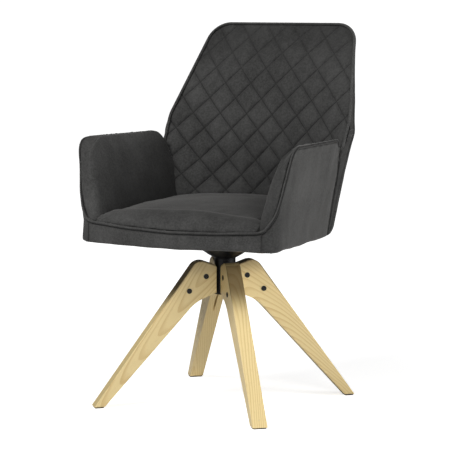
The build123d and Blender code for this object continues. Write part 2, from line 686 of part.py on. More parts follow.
def arm_screw_holes():
    """The holes of those screws, in the panel and in the board."""
    height = BOARD_LOW + BOARD_THICKNESS / 2
    holes = []
    for y in ARM_SCREW_PLACES:
        outer = arm_line(height, y)
        seat = outer - ARM_SKIN - ARM_SCREW_SINK - ARM_SCREW_HEAD_HEIGHT
        head = rod_along_x(ARM_SCREW_HEAD_RADIUS + PRESS_GAP, seat, outer)
        shank = rod_along_x(ARM_SCREW_RADIUS + PRESS_GAP, seat - ARM_SCREW_LENGTH, seat)
        holes.append(Pos(0, y, height) * (head + shank))
    return Compound(holes)


# ---------------------------------------------------------------- seat
def board_half_width(y):
    """Half width of the seat board, just inside the arm panels."""
    return arm_line(BOARD_LOW, y) - ARM_CORE_INNER - CLOTH_GAP


def board_plan(inset=0.0):
    """The board's outline, a trapezoid with rounded corners."""
    front, rear = BOARD_FRONT + inset, BOARD_REAR - inset
    wide, narrow = board_half_width(BOARD_FRONT) - inset, board_half_width(BOARD_REAR) - inset
    points = [(-wide, front), (wide, front), (narrow, rear), (-narrow, rear)]
    return outline(points, [BOARD_CORNER] * 4)


def seat_board():
    """The plywood board with holes for the tee nuts and the arm screws."""
    board = Pos(0, 0, BOARD_LOW) * extrude(board_plan(), BOARD_THICKNESS)
    for place in plate_bolt_places():
        board -= place * ring(0, TEE_NUT_RADIUS + PRESS_GAP, BOARD_LOW - CUT_OVER, BOARD_HIGH + CUT_OVER)
        flange_low = BOARD_HIGH - TEE_NUT_FLANGE_HEIGHT
        board -= place * ring(0, TEE_NUT_FLANGE_RADIUS + PRESS_GAP, flange_low, BOARD_HIGH + CUT_OVER)
    holes = arm_screw_holes()
    board = board - holes - mirrored(holes)
    for place in rail_screw_places():
        board -= place * ring(0, RAIL_SCREW_RADIUS + PRESS_GAP, BOARD_LOW - CUT_OVER, BOARD_HIGH + CUT_OVER)
        seat = BOARD_LOW + RAIL_SCREW_HEAD_HEIGHT
        board -= place * ring(0, RAIL_SCREW_HEAD_RADIUS + PRESS_GAP, BOARD_LOW - CUT_OVER, seat)
    return board - behind_the_board()


def dust_cover():
    """The thin cloth under the board, with a window for the plate's bolts."""
    cover = Pos(0, 0, PLATE_HIGH) * extrude(board_plan(DUST_COVER_INSET), DUST_COVER_THICKNESS)
    for place in plate_bolt_places():
        cover -= place * ring(0, PLATE_BOLT_RADIUS + PRESS_GAP, PLATE_HIGH - CUT_OVER, BOARD_LOW + CUT_OVER)
    return cover - behind_the_board()


def behind_the_board():
    """Everything behind the bent panel's front face, for cutting the board."""
    return back_layer(BACK_PAD_SHARE, 1, front_shift=-CLOTH_GAP, rear_shift=FAR)


def front_rail_solid():
    """A wooden strip on the board's front edge, whose ends follow the arms."""
    front, rear = BOARD_FRONT, BOARD_FRONT + RAIL_DEPTH
    wide, narrow = board_half_width(front) - RAIL_INSET, board_half_width(rear) - RAIL_INSET
    corners = [(-wide, front), (wide, front), (narrow, rear), (-narrow, rear)]
    return Pos(0, 0, BOARD_HIGH) * extrude(make_face(Polyline(*corners, close=True)), RAIL_HEIGHT)


def rear_rail_solid():
    """A bent strip on the board, along the front of the bent panel."""
    share = BACK_PAD_SHARE
    strip = back_layer(share, share, front_shift=-RAIL_DEPTH, rear_shift=-CLOTH_GAP)
    half = board_half_width(BOARD_REAR) - RAIL_INSET
    return strip & box_between((-half, 0, BOARD_HIGH), (half, FAR, RAIL_HIGH))


def rail_screw_places():
    """The places of the screws that hold both rails, in two rows."""
    places = []
    reach = board_half_width(BOARD_REAR) - 2 * RAIL_INSET - RAIL_DEPTH
    step = 2 * reach / (RAIL_SCREW_COUNT - 1)
    for i in range(RAIL_SCREW_COUNT):
        x = -reach + step * i
        rear = back_y(BACK_PAD_SHARE, x, BOARD_HIGH) - RAIL_DEPTH / 2
        places += [Pos(x, BOARD_FRONT + RAIL_DEPTH / 2, 0), Pos(x, rear, 0)]
    return places


def rail_screws():
    """Screws from below through the board into the rails."""
    head = ring(0, RAIL_SCREW_HEAD_RADIUS, BOARD_LOW, BOARD_LOW + RAIL_SCREW_HEAD_HEIGHT)
    seat = BOARD_LOW + RAIL_SCREW_HEAD_HEIGHT
    shank = ring(0, RAIL_SCREW_RADIUS, seat, BOARD_LOW + RAIL_SCREW_LENGTH)
    return [place * (head + shank) for place in rail_screw_places()]


def drilled(rail):
    """A rail with its screw holes."""
    high = BOARD_LOW + RAIL_SCREW_LENGTH
    for place in rail_screw_places():
        rail -= place * ring(0, RAIL_SCREW_RADIUS + PRESS_GAP, BOARD_HIGH - CUT_OVER, high)
    return rail - back_screw_holes()


def apron_plan(height, grow=0.0):
    """One level of the apron: bowed in front, with short returns along the sides."""
    wide = arm_line(height, APRON_CORNER_FRONT) + grow
    rear = APRON_RETURN_REAR + grow
    rear_wide = arm_line(height, APRON_RETURN_REAR) + grow
    inner_wide = rear_wide - ARM_CORE_INNER - 2 * grow
    inner_y = BOARD_FRONT - CLOTH_GAP + grow
    bow = ThreePointArc(
        (-wide, APRON_CORNER_FRONT - grow, height),
        (0, APRON_MIDDLE_FRONT - grow, height),
        (wide, APRON_CORNER_FRONT - grow, height),
    )
    rest = Polyline(
        (wide, APRON_CORNER_FRONT - grow, height),
        (rear_wide, rear, height),
        (inner_wide, rear, height),
        (inner_wide, inner_y, height),
        (-inner_wide, inner_y, height),
        (-inner_wide, rear, height),
        (-rear_wide, rear, height),
        (-wide, APRON_CORNER_FRONT - grow, height),
    )
    return make_face([bow, rest])


def above_the_dip(lift=0.0):
    """Everything above the apron's top edge, which dips in the middle."""
    x, high = APRON_CORNER_AT, APRON_CORNER_HIGH + lift
    arc = ThreePointArc((-x, high), (0, APRON_MIDDLE_HIGH + lift), (x, high))
    rest = Polyline((x, high), (FAR, high), (FAR, FAR), (-FAR, FAR), (-FAR, high), (-x, high))
    return extrude(Plane.XZ * make_face([arc, rest]), FAR, both=True)


def apron_solid(grow=0.0):
    """The front apron before the piping's channel is cut."""
    low, high = SHELL_LOW - grow, APRON_CORNER_HIGH + 2 * PIPING_RADIUS
    body = loft([apron_plan(low, grow), apron_plan(high, grow)], ruled=True)
    upright = body.edges().filter_by(lambda edge: abs(edge.tangent_at(0.5).Z) > 0.9)
    corners = upright.group_by(Axis.Y)[0]
    return fillet(corners, APRON_CORNER_ROUND) - above_the_dip(grow)


def seat_apron(cutters):
    """The padded band across the front, under the piping."""
    return apron_solid() - cutters


def cushion_profile(x, share):
    """Side view of the cushion at a distance from the middle; share is 0 there and 1 at the sides."""
    def mix(middle, side):
        return middle + (side - middle) * share

    bow = APRON_CORNER_FRONT - APRON_MIDDLE_FRONT
    front = APRON_MIDDLE_FRONT + bow * share + PIPING_RADIUS / 2
    rear = BOARD_REAR
    low = BOARD_HIGH + CLOTH_GAP
    lip = mix(CUSHION_LIP_MIDDLE, CUSHION_LIP_SIDE)
    shoulder_y = front + CUSHION_SHOULDER_DEPTH
    shoulder = mix(CUSHION_SHOULDER_MIDDLE, CUSHION_SHOULDER_SIDE)
    crown = mix(CUSHION_CROWN_MIDDLE, CUSHION_CROWN_SIDE)
    end = mix(CUSHION_REAR_MIDDLE, CUSHION_REAR_SIDE)
    lip_y = front + (shoulder_y - front) * CUSHION_LIP_REACH
    lip_high = lip + (shoulder - lip) * CUSHION_LIP_RISE
    edges = [
        Polyline((x, rear, end), (x, rear, low), (x, front, low), (x, front, lip)),
        ThreePointArc((x, front, lip), (x, lip_y, lip_high), (x, shoulder_y, shoulder)),
        ThreePointArc((x, shoulder_y, shoulder), (x, CUSHION_CROWN_AT, crown), (x, rear, end)),
    ]
    return make_face(edges)


def cushion_sides():
    """Plan of the cushion, drawn in a little between its corners."""
    low = CUSHION_CROWN_AT
    front_y, rear_y = APRON_MIDDLE_FRONT - CUT_OVER, BOARD_REAR + CUT_OVER
    front_x = CUSHION_HALF_WIDTH
    rear_x = arm_line(CUSHION_REAR_SIDE, rear_y) - between(ARM_SECTIONS, CUSHION_REAR_SIDE, 4)
    mid_x = (front_x + rear_x) / 2 - CUSHION_WAIST
    edges = [
        Line((-front_x, front_y), (front_x, front_y)),
        ThreePointArc((front_x, front_y), (mid_x, low), (rear_x, rear_y)),
        Line((rear_x, rear_y), (-rear_x, rear_y)),
        ThreePointArc((-rear_x, rear_y), (-mid_x, low), (-front_x, front_y)),
    ]
    return extrude(make_face(edges), FAR)


def seat_cushion(cutters):
    """The seat cushion, crowned in the middle and rounded over at the front."""
    half = CUSHION_HALF_WIDTH + CUSHION_WAIST
    quarter = CUSHION_QUARTER_SHARE
    shares = [(-half, 1.0), (-half / 2, quarter), (0, 0.0), (half / 2, quarter), (half, 1.0)]
    block = loft([cushion_profile(x, share) for x, share in shares])
    return block & cushion_sides() - cutters


# ---------------------------------------------------------------- back
def back_half_width(height):
    """Half width of the back in front view, without its rounded corners."""
    if height < BACK_WIDE_HEIGHT:
        share = (height - SHELL_LOW) / (BACK_WIDE_HEIGHT - SHELL_LOW)
        return BACK_LOW_HALF_WIDTH + (BACK_WIDE_HALF_WIDTH - BACK_LOW_HALF_WIDTH) * share
    share = (height - BACK_WIDE_HEIGHT) / (BACK_HIGH - BACK_WIDE_HEIGHT)
    return BACK_WIDE_HALF_WIDTH + (BACK_TOP_HALF_WIDTH - BACK_WIDE_HALF_WIDTH) * share


def back_front_view(inset=0.0, high=BACK_HIGH, low=SHELL_LOW):
    """Front view of the back, as a prism that cuts its sides and corners."""
    bottom = back_half_width(low) - inset
    top = back_half_width(high) - inset
    wide = BACK_WIDE_HALF_WIDTH - inset
    right = [(bottom, low), (wide, BACK_WIDE_HEIGHT), (top, high)]
    points = [*right, *[(-x, z) for x, z in reversed(right)]]
    corner = BACK_TOP_CORNER - inset / 2
    radii = [0, BACK_SIDE_CORNER, corner, corner, BACK_SIDE_CORNER, 0]
    return extrude(Plane.XZ * outline(points, radii), FAR, both=True)


def bent(middle, edge, x, half_width):
    """Y of a bent face at a distance from the middle, where it bends by (middle - edge)."""
    return middle - (middle - edge) * (x / half_width) ** 2


def back_y(share, x, height):
    """Y of the back at a share of its thickness, anywhere in front view."""
    middle = between(BACK_SECTIONS, height, 1)
    middle += (between(BACK_SECTIONS, height, 3) - middle) * share
    edge = between(BACK_SECTIONS, height, 2)
    edge += (between(BACK_SECTIONS, height, 4) - edge) * share
    return bent(middle, edge, x, back_half_width(min(height, BACK_HIGH)))


def back_plan(row, front_share, rear_share, front_shift=0.0, rear_shift=0.0):
    """One level of a layer of the back, between two shares of its thickness."""
    height, front_middle, front_edge, rear_middle, rear_edge = row
    half = back_half_width(min(height, BACK_HIGH))
    wide = half + BACK_SECTION_MARGIN

    def face_y(share, shift):
        middle = front_middle + (rear_middle - front_middle) * share + shift
        edge = front_edge + (rear_edge - front_edge) * share + shift
        return middle, bent(middle, edge, wide, half)

    front_mid, front_out = face_y(front_share, front_shift)
    rear_mid, rear_out = face_y(rear_share, rear_shift)
    edges = [
        ThreePointArc((-wide, front_out, height), (0, front_mid, height), (wide, front_out, height)),
        Line((wide, front_out, height), (wide, rear_out, height)),
        ThreePointArc((wide, rear_out, height), (0, rear_mid, height), (-wide, rear_out, height)),
        Line((-wide, rear_out, height), (-wide, front_out, height)),
    ]
    return make_face(edges)


def back_layer(front_share, rear_share, front_shift=0.0, rear_shift=0.0):
    """A layer of the back through all its sections, before its outline is cut."""
    options = (front_share, rear_share, front_shift, rear_shift)
    return loft([back_plan(row, *options) for row in BACK_SECTIONS])


def quilt_point(column, row, share, outward):
    """A point of the net of half diamonds; every other one is a crossing of the stitch lines."""
    x = DIAMOND_OFFSET + column * DIAMOND_WIDTH / 2
    z = QUILT_LOW + row * DIAMOND_HEIGHT / 2
    depth = STITCH_DEPTH if (column + row) % 2 == 0 else 0.0
    return (x, back_y(share, x, z) - outward * depth, z)


def flat_face(points):
    """A flat face with straight sides through the points."""
    return Face(Wire.make_polygon(points, close=True))


def quilted_cell(column, row, share, outward):
    """Two triangles that meet along the stitch line through one cell of the net."""
    corners = [(column, row), (column + 1, row), (column + 1, row + 1), (column, row + 1)]
    a, b, c, d = [quilt_point(i, j, share, outward) for i, j in corners]
    if (column + row) % 2 == 0:
        return [flat_face([a, b, c]), flat_face([a, c, d])]
    return [flat_face([a, b, d]), flat_face([b, c, d])]


def quilted_block(share, outward):
    """A block whose one face is the quilted face of the back; outward is its side, -1 or 1.

    The crossings of the stitch lines lie a stitch deep, and the middle of each
    diamond lies on the back's own face."""
    reach = BACK_WIDE_HALF_WIDTH + BACK_SECTION_MARGIN
    last = int(2 * reach / DIAMOND_WIDTH) + 1
    rows = int(2 * (BACK_HIGH + QUILT_MARGIN - QUILT_LOW) / DIAMOND_HEIGHT) + 1
    flat = FAR * -outward
    faces = []
    for column in range(-last, last):
        for row in range(rows):
            faces += quilted_cell(column, row, share, outward)
    bottom, top = [[(i, j) for i in range(-last, last + 1)] for j in (0, rows)]
    left, right = [[(i, j) for j in range(rows + 1)] for i in (-last, last)]
    for side in (bottom, top, left, right):
        edge = [quilt_point(i, j, share, outward) for i, j in side]
        start, end = edge[0], edge[-1]
        faces.append(flat_face([*edge, (end[0], flat, end[2]), (start[0], flat, start[2])]))
    corners = [quilt_point(i, j, share, outward) for i in (-last, last) for j in (0, rows)]
    low_left, high_left, low_right, high_right = [(x, flat, z) for x, y, z in corners]
    faces.append(flat_face([low_left, low_right, high_right, high_left]))
    return Solid(Shell(faces))


def back_pad(block, cutters):
    """The quilted pad in front of the bent panel."""
    behind = back_layer(BACK_PAD_SHARE, 1, front_shift=-CLOTH_GAP, rear_shift=2 * FAR)
    return block & back_front_view(low=BACK_PAD_LOW) - [behind, *cutters]


def back_core():
    """The bent plywood panel between the pad and the rear shell."""
    panel = back_layer(BACK_PAD_SHARE, BACK_PAD_SHARE + BACK_CORE_SHARE)
    return panel & back_front_view(inset=BACK_CORE_INSET, high=BACK_CORE_HIGH, low=BOARD_LOW)


def bent_panel_room():
    """The room that the shell has for the bent panel, a little wider and open in front."""
    rear_share = BACK_PAD_SHARE + BACK_CORE_SHARE
    room = back_layer(BACK_PAD_SHARE, rear_share, front_shift=-CUT_OVER, rear_shift=CLOTH_GAP)
    inset = BACK_CORE_INSET - CLOTH_GAP
    return room & back_front_view(inset, BACK_CORE_HIGH + CLOTH_GAP, BOARD_LOW - CLOTH_GAP)


def back_shell(cutters):
    """The rear shell with the strip round the back's edge, quilted behind."""
    ahead = back_layer(0, BACK_PAD_SHARE, front_shift=-2 * FAR)
    shell = quilted_block(1, outward=1) & back_front_view()
    return shell - [ahead, bent_panel_room(), *cutters]


def back_screw_seat(x):
    """Height of the screws in the bent panel, and the y of the faces they bear on."""
    height = BOARD_HIGH + RAIL_HEIGHT / 2
    outer = back_y(BACK_PAD_SHARE + BACK_CORE_SHARE, x, height)
    return height, outer - BACK_SCREW_SINK - BACK_SCREW_HEAD_HEIGHT


def back_screws():
    """Screws through the bent panel into the rear rail."""
    screws = []
    for x in BACK_SCREW_PLACES:
        height, seat = back_screw_seat(x)
        head = rod_along_y(BACK_SCREW_HEAD_RADIUS, seat, seat + BACK_SCREW_HEAD_HEIGHT)
        shank = rod_along_y(BACK_SCREW_RADIUS, seat - BACK_SCREW_LENGTH, seat)
        screws.append(Pos(x, 0, height) * (head + shank))
    return screws


def back_screw_holes():
    """The holes of those screws, in the panel and in the rear rail."""
    holes = []
    for x in BACK_SCREW_PLACES:
        height, seat = back_screw_seat(x)
        head = rod_along_y(BACK_SCREW_HEAD_RADIUS + PRESS_GAP, seat, seat + RAIL_DEPTH)
        shank = rod_along_y(BACK_SCREW_RADIUS + PRESS_GAP, seat - BACK_SCREW_LENGTH, seat)
        holes.append(Pos(x, 0, height) * (head + shank))
    return Compound(holes)


# ---------------------------------------------------------------- piping
def tube(points, radii, radius):
    """A round cord along straight runs and arcs."""
    path = FilletPolyline(*points, radius=radii)
    section = Plane(origin=path @ 0, z_dir=path % 0) * Circle(radius)
    return sweep(section, path=path)


def front_piping(radius):
    """The cord from arm to arm: along each arm's top and front and across the seat."""
    arm = [ARM_PIPING_REAR, ARM_PIPING_TOP, ARM_PIPING_LOW]
    right = [*arm, SEAT_PIPING_CORNER, SEAT_PIPING_QUARTER]
    left = [(-x, y, z) for x, y, z in reversed(right)]
    arm_radii = [ARM_PIPING_TOP_ROUND, ARM_PIPING_LOW_ROUND]
    seat_radii = [SEAT_PIPING_CORNER_ROUND, SEAT_PIPING_QUARTER_ROUND]
    radii = [*arm_radii, *seat_radii, SEAT_PIPING_MIDDLE_ROUND, *reversed(seat_radii), *reversed(arm_radii)]
    return tube([*right, SEAT_PIPING_MIDDLE, *left], radii, radius)


def back_edge_point(height):
    """A point on the front edge of the back."""
    return (back_half_width(height), between(BACK_SECTIONS, height, 2), height)


def back_piping(radius):
    """The cord round the front edge of the back, from arm to arm over the top."""
    heights = [BACK_PIPING_LOW_HEIGHT, BACK_PIPING_BEND_HEIGHT, BACK_HIGH]
    right = [back_edge_point(height) for height in heights]
    left = [(-x, y, z) for x, y, z in reversed(right)]
    corner = BACK_PIPING_CORNER_ROUND
    bend = BACK_PIPING_SIDE_ROUND
    return tube([*right, *left], [bend, corner, corner, bend], radius)


# ---------------------------------------------------------------- assembly
def build_base():
    """All pieces that stand still."""
    pieces = {}
    for name, angle in LEG_ANGLES.items():
        turn = Rot(0, 0, angle)
        pieces["leg_" + name] = [turn * leg()]
        pieces["glide_" + name] = [turn * glide()]
        pieces["fin_" + name] = [turn * fin()]
    turns = [Rot(0, 0, angle) for angle in LEG_ANGLES.values()]
    pieces["glide_screws"] = [turn * glide_screw() for turn in turns]
    pieces["leg_bolts"] = [turn * bolt for turn in turns for bolt in leg_bolts()]
    pieces["leg_sleeve_nuts"] = [turn * nut for turn in turns for nut in sleeve_nuts()]
    pieces["centre_column"] = [centre_column()]
    pieces["column_end_cap"] = [column_end_cap()]
    pieces["neck_collar"] = [neck_collar()]
    pieces["upper_bush"] = [upper_bush()]
    pieces["lower_bush"] = [lower_bush()]
    pieces["lower_race"] = [lower_race()]
    return pieces


def build_swivel():
    """The bearing's moving pieces and what carries the seat."""
    return {
        "ball_cage": [ball_cage()],
        "bearing_balls": bearing_balls(),
        "upper_race": [upper_race()],
        "spindle": [spindle()],
        "retaining_ring": [retaining_ring()],
        "spindle_washer": [spindle_washer()],
        "swivel_dish": [swivel_dish()],
        "mounting_plate": [mounting_plate()],
        "plate_bolts": plate_bolts(),
        "tee_nuts": tee_nuts(),
        "dust_cover": [dust_cover()],
        "seat_board": [seat_board()],
        "front_rail": [drilled(front_rail_solid())],
        "rear_rail": [drilled(rear_rail_solid())],
        "rail_screws": rail_screws(),
    }


def build_upholstery():
    """The arms, the seat cushion, the back and their piping."""
    seam = front_piping(PIPING_RADIUS + CLOTH_GAP)
    arm = arm_envelope(CLOTH_GAP)
    arms = [arm, mirrored(arm)]
    apron = apron_solid(CLOTH_GAP)
    back_seam = back_piping(PIPING_RADIUS + CLOTH_GAP)
    rails = [front_rail_solid(), rear_rail_solid()]
    pad_block = quilted_block(0, outward=-1)

    pieces = {}
    outer = arm_outer([seam, apron])
    panel = arm_core_solid() - [apron, arm_screw_holes()]
    pad = arm_pad([seam, apron, *rails])
    for name, shape in (("arm_outer", outer), ("arm_core", panel), ("arm_pad", pad)):
        pieces[name + "_right"] = [shape]
        pieces[name + "_left"] = [mirrored(shape)]
    screws = arm_screws()
    pieces["arm_screws"] = screws + [mirrored(screw) for screw in screws]
    pieces["seat_apron"] = [seat_apron([seam])]
    pieces["seat_cushion"] = [seat_cushion([seam, apron, Pos(0, -CLOTH_GAP, 0) * pad_block, *arms, *rails])]
    pieces["back_pad"] = [back_pad(pad_block, [*arms, back_seam])]
    pieces["back_core"] = [back_core() - [back_screw_holes(), *arms]]
    pieces["back_shell"] = [back_shell([*arms, back_seam])]
    pieces["back_screws"] = back_screws()
    pieces["piping_front"] = [front_piping(PIPING_RADIUS)]
    pieces["piping_back"] = [back_piping(PIPING_RADIUS)]
    return pieces


def main():
    """Build every piece, place the whole over the origin and write the files."""
    pieces = {**build_base(), **build_swivel(), **build_upholstery()}
    whole = Compound([solid for group in pieces.values() for shape in group for solid in shape.solids()])
    box = whole.bounding_box()
    place = Pos(0, -(box.min.Y + box.max.Y) / 2, 0)
    print("swivel axis at y = %.2f" % -((box.min.Y + box.max.Y) / 2))
    os.makedirs("parts", exist_ok=True)
    for name, group in pieces.items():
        solids = [place * solid for shape in group for solid in shape.solids()]
        body = solids[0] if len(solids) == 1 else Compound(solids)
        export_step(body, "parts/" + name + ".step")


if __name__ == "__main__":
    main()
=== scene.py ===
import json
from math import cos, pi, radians, sin

import bmesh
import bpy
import numpy as np
from bpy.props import FloatProperty, FloatVectorProperty, IntProperty, PointerProperty
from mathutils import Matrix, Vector, noise
from mathutils.bvhtree import BVHTree
from mathutils.kdtree import KDTree


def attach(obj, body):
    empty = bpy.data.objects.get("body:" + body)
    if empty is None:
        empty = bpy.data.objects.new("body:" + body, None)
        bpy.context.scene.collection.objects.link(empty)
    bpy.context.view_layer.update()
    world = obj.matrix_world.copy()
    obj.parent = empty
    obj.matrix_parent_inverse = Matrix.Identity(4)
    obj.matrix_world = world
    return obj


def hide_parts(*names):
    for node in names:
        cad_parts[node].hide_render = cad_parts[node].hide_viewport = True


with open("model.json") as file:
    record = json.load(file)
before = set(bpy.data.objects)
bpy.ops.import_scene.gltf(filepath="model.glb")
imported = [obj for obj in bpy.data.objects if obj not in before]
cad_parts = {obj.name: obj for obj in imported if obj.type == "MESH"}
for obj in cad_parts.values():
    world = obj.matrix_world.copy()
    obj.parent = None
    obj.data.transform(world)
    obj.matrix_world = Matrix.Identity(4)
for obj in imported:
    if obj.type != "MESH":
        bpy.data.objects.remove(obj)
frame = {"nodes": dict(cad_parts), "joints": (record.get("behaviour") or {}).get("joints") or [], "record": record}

bl_info = {
    "name": "Swivel dining chair looks",
    "version": (1, 0, 0),
    "blender": (4, 5, 0),
    "location": "3D View > Sidebar > Chair",
    "description": "Dresses the packed chair with upholstery, wood, metal and a studio",
    "category": "Object",
}

MM = 0.001
AXIS_Y = next(j["pos_m"][1] for j in frame["joints"] if j["name"] == "seat_swivel")

# The back, level by level: height, and y of the front's middle and edge and the rear's middle and
# edge, in millimetres from the swivel axis.
BACK_LEVELS = np.array([
    (392.0, 158, 100, 224, 192), (475, 160, 84, 224, 181), (560, 170, 106, 226, 172),
    (640, 181, 137, 232, 174), (720, 200, 184, 244, 209), (800, 228, 230, 264, 245),
    (897, 285, 288, 307, 302),
])
BACK_LOW, BACK_WIDE, BACK_TOP = 392.0, 640.0, 893.0
BACK_HALF_LOW, BACK_HALF_WIDE, BACK_HALF_TOP = 188.0, 257.0, 196.0
BACK_CORNER, BACK_SIDE_ROUND = 58.0, 60.0
OUTLINE_STEP = 0.5                # between points of the back's outline
BACK_PAD_LOW, BACK_CORE_TOP = 425.0, 798.0   # foot of the front pad, top of the panel inside
FOOT_ROUND = 26.0                 # of the foot of the back's rear cover
EDGE_REACH, EDGE_DEPTH = 9.0, 3.6     # how the quilting runs out towards the edge of a face
FULL_THICKNESS = 34.0             # of the back, above which its rear is quilted to full depth
FRONT_MIDDLE, FRONT_EDGE, REAR_MIDDLE, REAR_EDGE = 1, 2, 3, 4     # columns of BACK_LEVELS

# The outer face of an arm, level by level: height, front x and y, rear x and y, in millimetres.
ARM_LEVELS = np.array([
    (392.0, 243.5, -226.0, 188.0, 155.0), (477, 260, -218, 211.5, 139),
    (543, 275, -205.5, 230, 128), (629, 288, -185, 254, 100),
])
ARM_COLUMNS = FRONT_X, FRONT_Y, REAR_X, REAR_Y = 1, 2, 3, 4       # columns of ARM_LEVELS
ARM_TOP = 629.0
ARM_FRONT_ROUND = (34.0, 26.0)    # of the top corner in side view: along the arm and in height
ARM_REAR_ROUND = (26.0, 26.0)
ARM_INNER_SOFTER = 1.5            # how much larger the front corner is on the arm's inner side
CORNER_TURN = 32.0                # from the arm's front corner to where its side runs straight
LEFT_ARM_LIFT = 4.0               # the left arm is stuffed a little fuller at its top
ARM_PANEL_HALF_WIDTH = 266.0      # least, of the outer panels' front corners from the middle
SEAM_X = 231.0                    # of the upright seams at the front corners, from the middle
HEM_LOW, HEM_ROUND = 391.0, 8.0   # of the covers' lower edge: its height, and how it curls in
PIPING_LIFT = 1.6                 # of the cord's centreline over the cloth
PIPING_STEP = 2.0                 # between points of a cord's line
LAID_STEPS = 30                   # of evening out, for a cord's line that is laid on the arms
COVER_THICKNESS = 1.2
PAD_GAP = 1.6                     # from an outer panel's face to the pad behind it

# Corners of the piping on the right half, from the back of the arm to the middle of the seat,
# with the radius that each is rounded with.
PIPING_FRONT = [
    ((236, 121, 606), 0), ((253.5, 101, 629), 20), ((288, -185, 629), 33), ((264, -216, 486), 80),
    ((236, -231, 441.5), 26), ((120, -242.5, 434), 300), ((0, -245, 430.5), 300),
]

# Points of the covers' grids, and depths of the strips that turn in under their hems.
PANEL_COLUMNS, PANEL_ROWS, PANEL_HEM = 124, 90, 12.0
APRON_COLUMNS, APRON_ROWS, APRON_HEM = 220, 24, 30.0
RIM_STEPS = 11      # of the side strip of the back's rear cover

# Quilting: width and height of a diamond, and a crossing of its lines in front view.
DIAMOND_WIDTH, DIAMOND_HEIGHT = 71.0, 74.0
CROSSING_X, CROSSING_Z = 18.0, 378.0

# Legs: angle round the swivel axis in degrees, and the seed of the wood's grain.
LEGS = {"front_left": (-135, 1.0), "front_right": (-45, 2.6), "rear_left": (135, 3.9),
        "rear_right": (45, 5.2)}
LEG_LEAN = 50.0     # of the legs' grain below level, in degrees

# Lights: angle round the chair and height in degrees as for the camera, and width in metres.
LIGHTS = {"key": (-22.0, 42.0, 1.2), "side": (102.0, 14.0, 1.4), "low": (46.0, 16.0, 1.4)}
LIGHT_TARGET, LIGHT_DISTANCE = Vector((0.0, AXIS_Y, 0.45)), 3.2
FLOOR_REACH = 60.0


# ---------------------------------------------------------------- settings
def number(label, text, value, low, high):
    return FloatProperty(name=label, description=text, default=value, min=low, max=high)


def length(label, text, value):
    return FloatProperty(name=label, description=text, default=value, min=0.0, unit="LENGTH",
                         precision=4)


def colour(label, text, value):
    return FloatVectorProperty(name=label, description=text, default=value, size=3,
                               min=0.0, max=1.0, subtype="COLOR")


class ChairQuiltSettings(bpy.types.PropertyGroup):
    """Sizes of the quilted back."""
    puff: length("Puff", "How far a diamond's middle stands out from its stitch lines", 0.0052)
    valley: length("Valley", "Distance over which a diamond rises from a stitch line", 0.0085)
    groove: length("Groove", "Depth of the narrow groove that a stitch line pulls in", 0.0012)
    groove_width: length("Groove width", "Width of that groove", 0.0016)
    stitch: length("Stitch", "Length of one stitch", 0.0031)
    pitch: length("Stitch pitch", "Distance from one stitch to the next", 0.0042)
    thread: length("Thread", "Thickness of the thread", 0.0007)
    splits: IntProperty(name="Splits", description="Mesh steps in half a diamond", default=18,
                        min=4, max=24)


class ChairFabricSettings(bpy.types.PropertyGroup):
    """Colours and sizes of the charcoal cover."""
    dark: colour("Dark", "Colour of the nap where it lies flat", (0.029, 0.0287, 0.0278))
    light: colour("Light", "Colour of the nap where it is brushed up", (0.092, 0.0915, 0.0895))
    # The colour that painted shade darkens the cloth towards, in seams, along stitch lines and wherever shade is
    # painted.
    crease: colour("Crease", "Colour deep in seams and along stitch lines", (0.006, 0.006, 0.006))
    thread: colour("Thread", "Colour of the sewing thread", (0.014, 0.014, 0.014))
    sheen: number("Sheen", "Weight of the soft sheen of the nap", 0.22, 0, 1)
    voxel: length("Remesh size", "Edge of the voxels that pads are remeshed with", 0.0024)
    wrinkle: length("Wrinkle", "Height of the soft wrinkles", 0.0011)
    pucker: length("Pucker", "Height of the puckers beside the piping", 0.0009)
    piping: length("Piping radius", "Radius of the piping cord", 0.0032)


class ChairWoodSettings(bpy.types.PropertyGroup):
    """Colours of the pale lacquered legs."""
    early: colour("Early wood", "Colour of the pale early wood", (0.84, 0.67, 0.34))
    late: colour("Late wood", "Colour of the darker grain lines", (0.66, 0.47, 0.20))
    # Colour of the painted shadow under the seat on the legs' top edges.
    seat_shadow_colour: colour("Seat shadow", "Colour of the darkened top edges under the seat", (0.11, 0.065, 0.022))
    shade: colour("Pore", "Colour of the pores and flecks", (0.40, 0.25, 0.11))
    rings: length("Ring", "Mean width of a year ring", 0.0042)


class ChairMetalSettings(bpy.types.PropertyGroup):
    """Colours of the metal and plastic pieces."""
    black: colour("Black", "Colour of the satin powder coat", (0.006, 0.006, 0.0065))
    zinc: colour("Zinc", "Colour of the zinc plating", (0.56, 0.56, 0.54))
    plastic: colour("Plastic", "Colour of the glides", (0.02, 0.02, 0.02))
    natural: colour("Natural plastic", "Colour of the bearing's plastic", (0.62, 0.61, 0.57))
    ply: colour("Plywood", "Colour of the plywood and the rails", (0.55, 0.39, 0.21))


class ChairStageSettings(bpy.types.PropertyGroup):
    """Camera, lights and floor."""
    azimuth: number("Azimuth", "Camera's angle round the chair, in degrees", 30.76, -180, 180)
    distance: length("Distance", "Camera's level distance from the swivel axis", 4.5)
    height: length("Height", "Camera's height over the floor", 0.956)
    pitch: number("Pitch", "Camera's tilt below level, in degrees", 6.76, -90, 90)
    lens: number("Lens", "Focal length in millimetres on a 36 mm sensor", 153.18, 10, 500)
    key: number("Key", "Power of the front key light", 72.0, 0, 1000)
    side: number("Side", "Power of the low light from the right", 50.0, 0, 1000)
    low: number("Low", "Power of the low light from the camera's right", 30.0, 0, 1000)
    ambient: number("Ambient", "Strength of the light from all round", 0.04, 0, 5)
    floor: colour("Floor", "Colour of the floor", (0.86, 0.86, 0.86))
    glow: number("Glow", "How much the floor is brightened for the camera alone", 0.7, 0, 5)


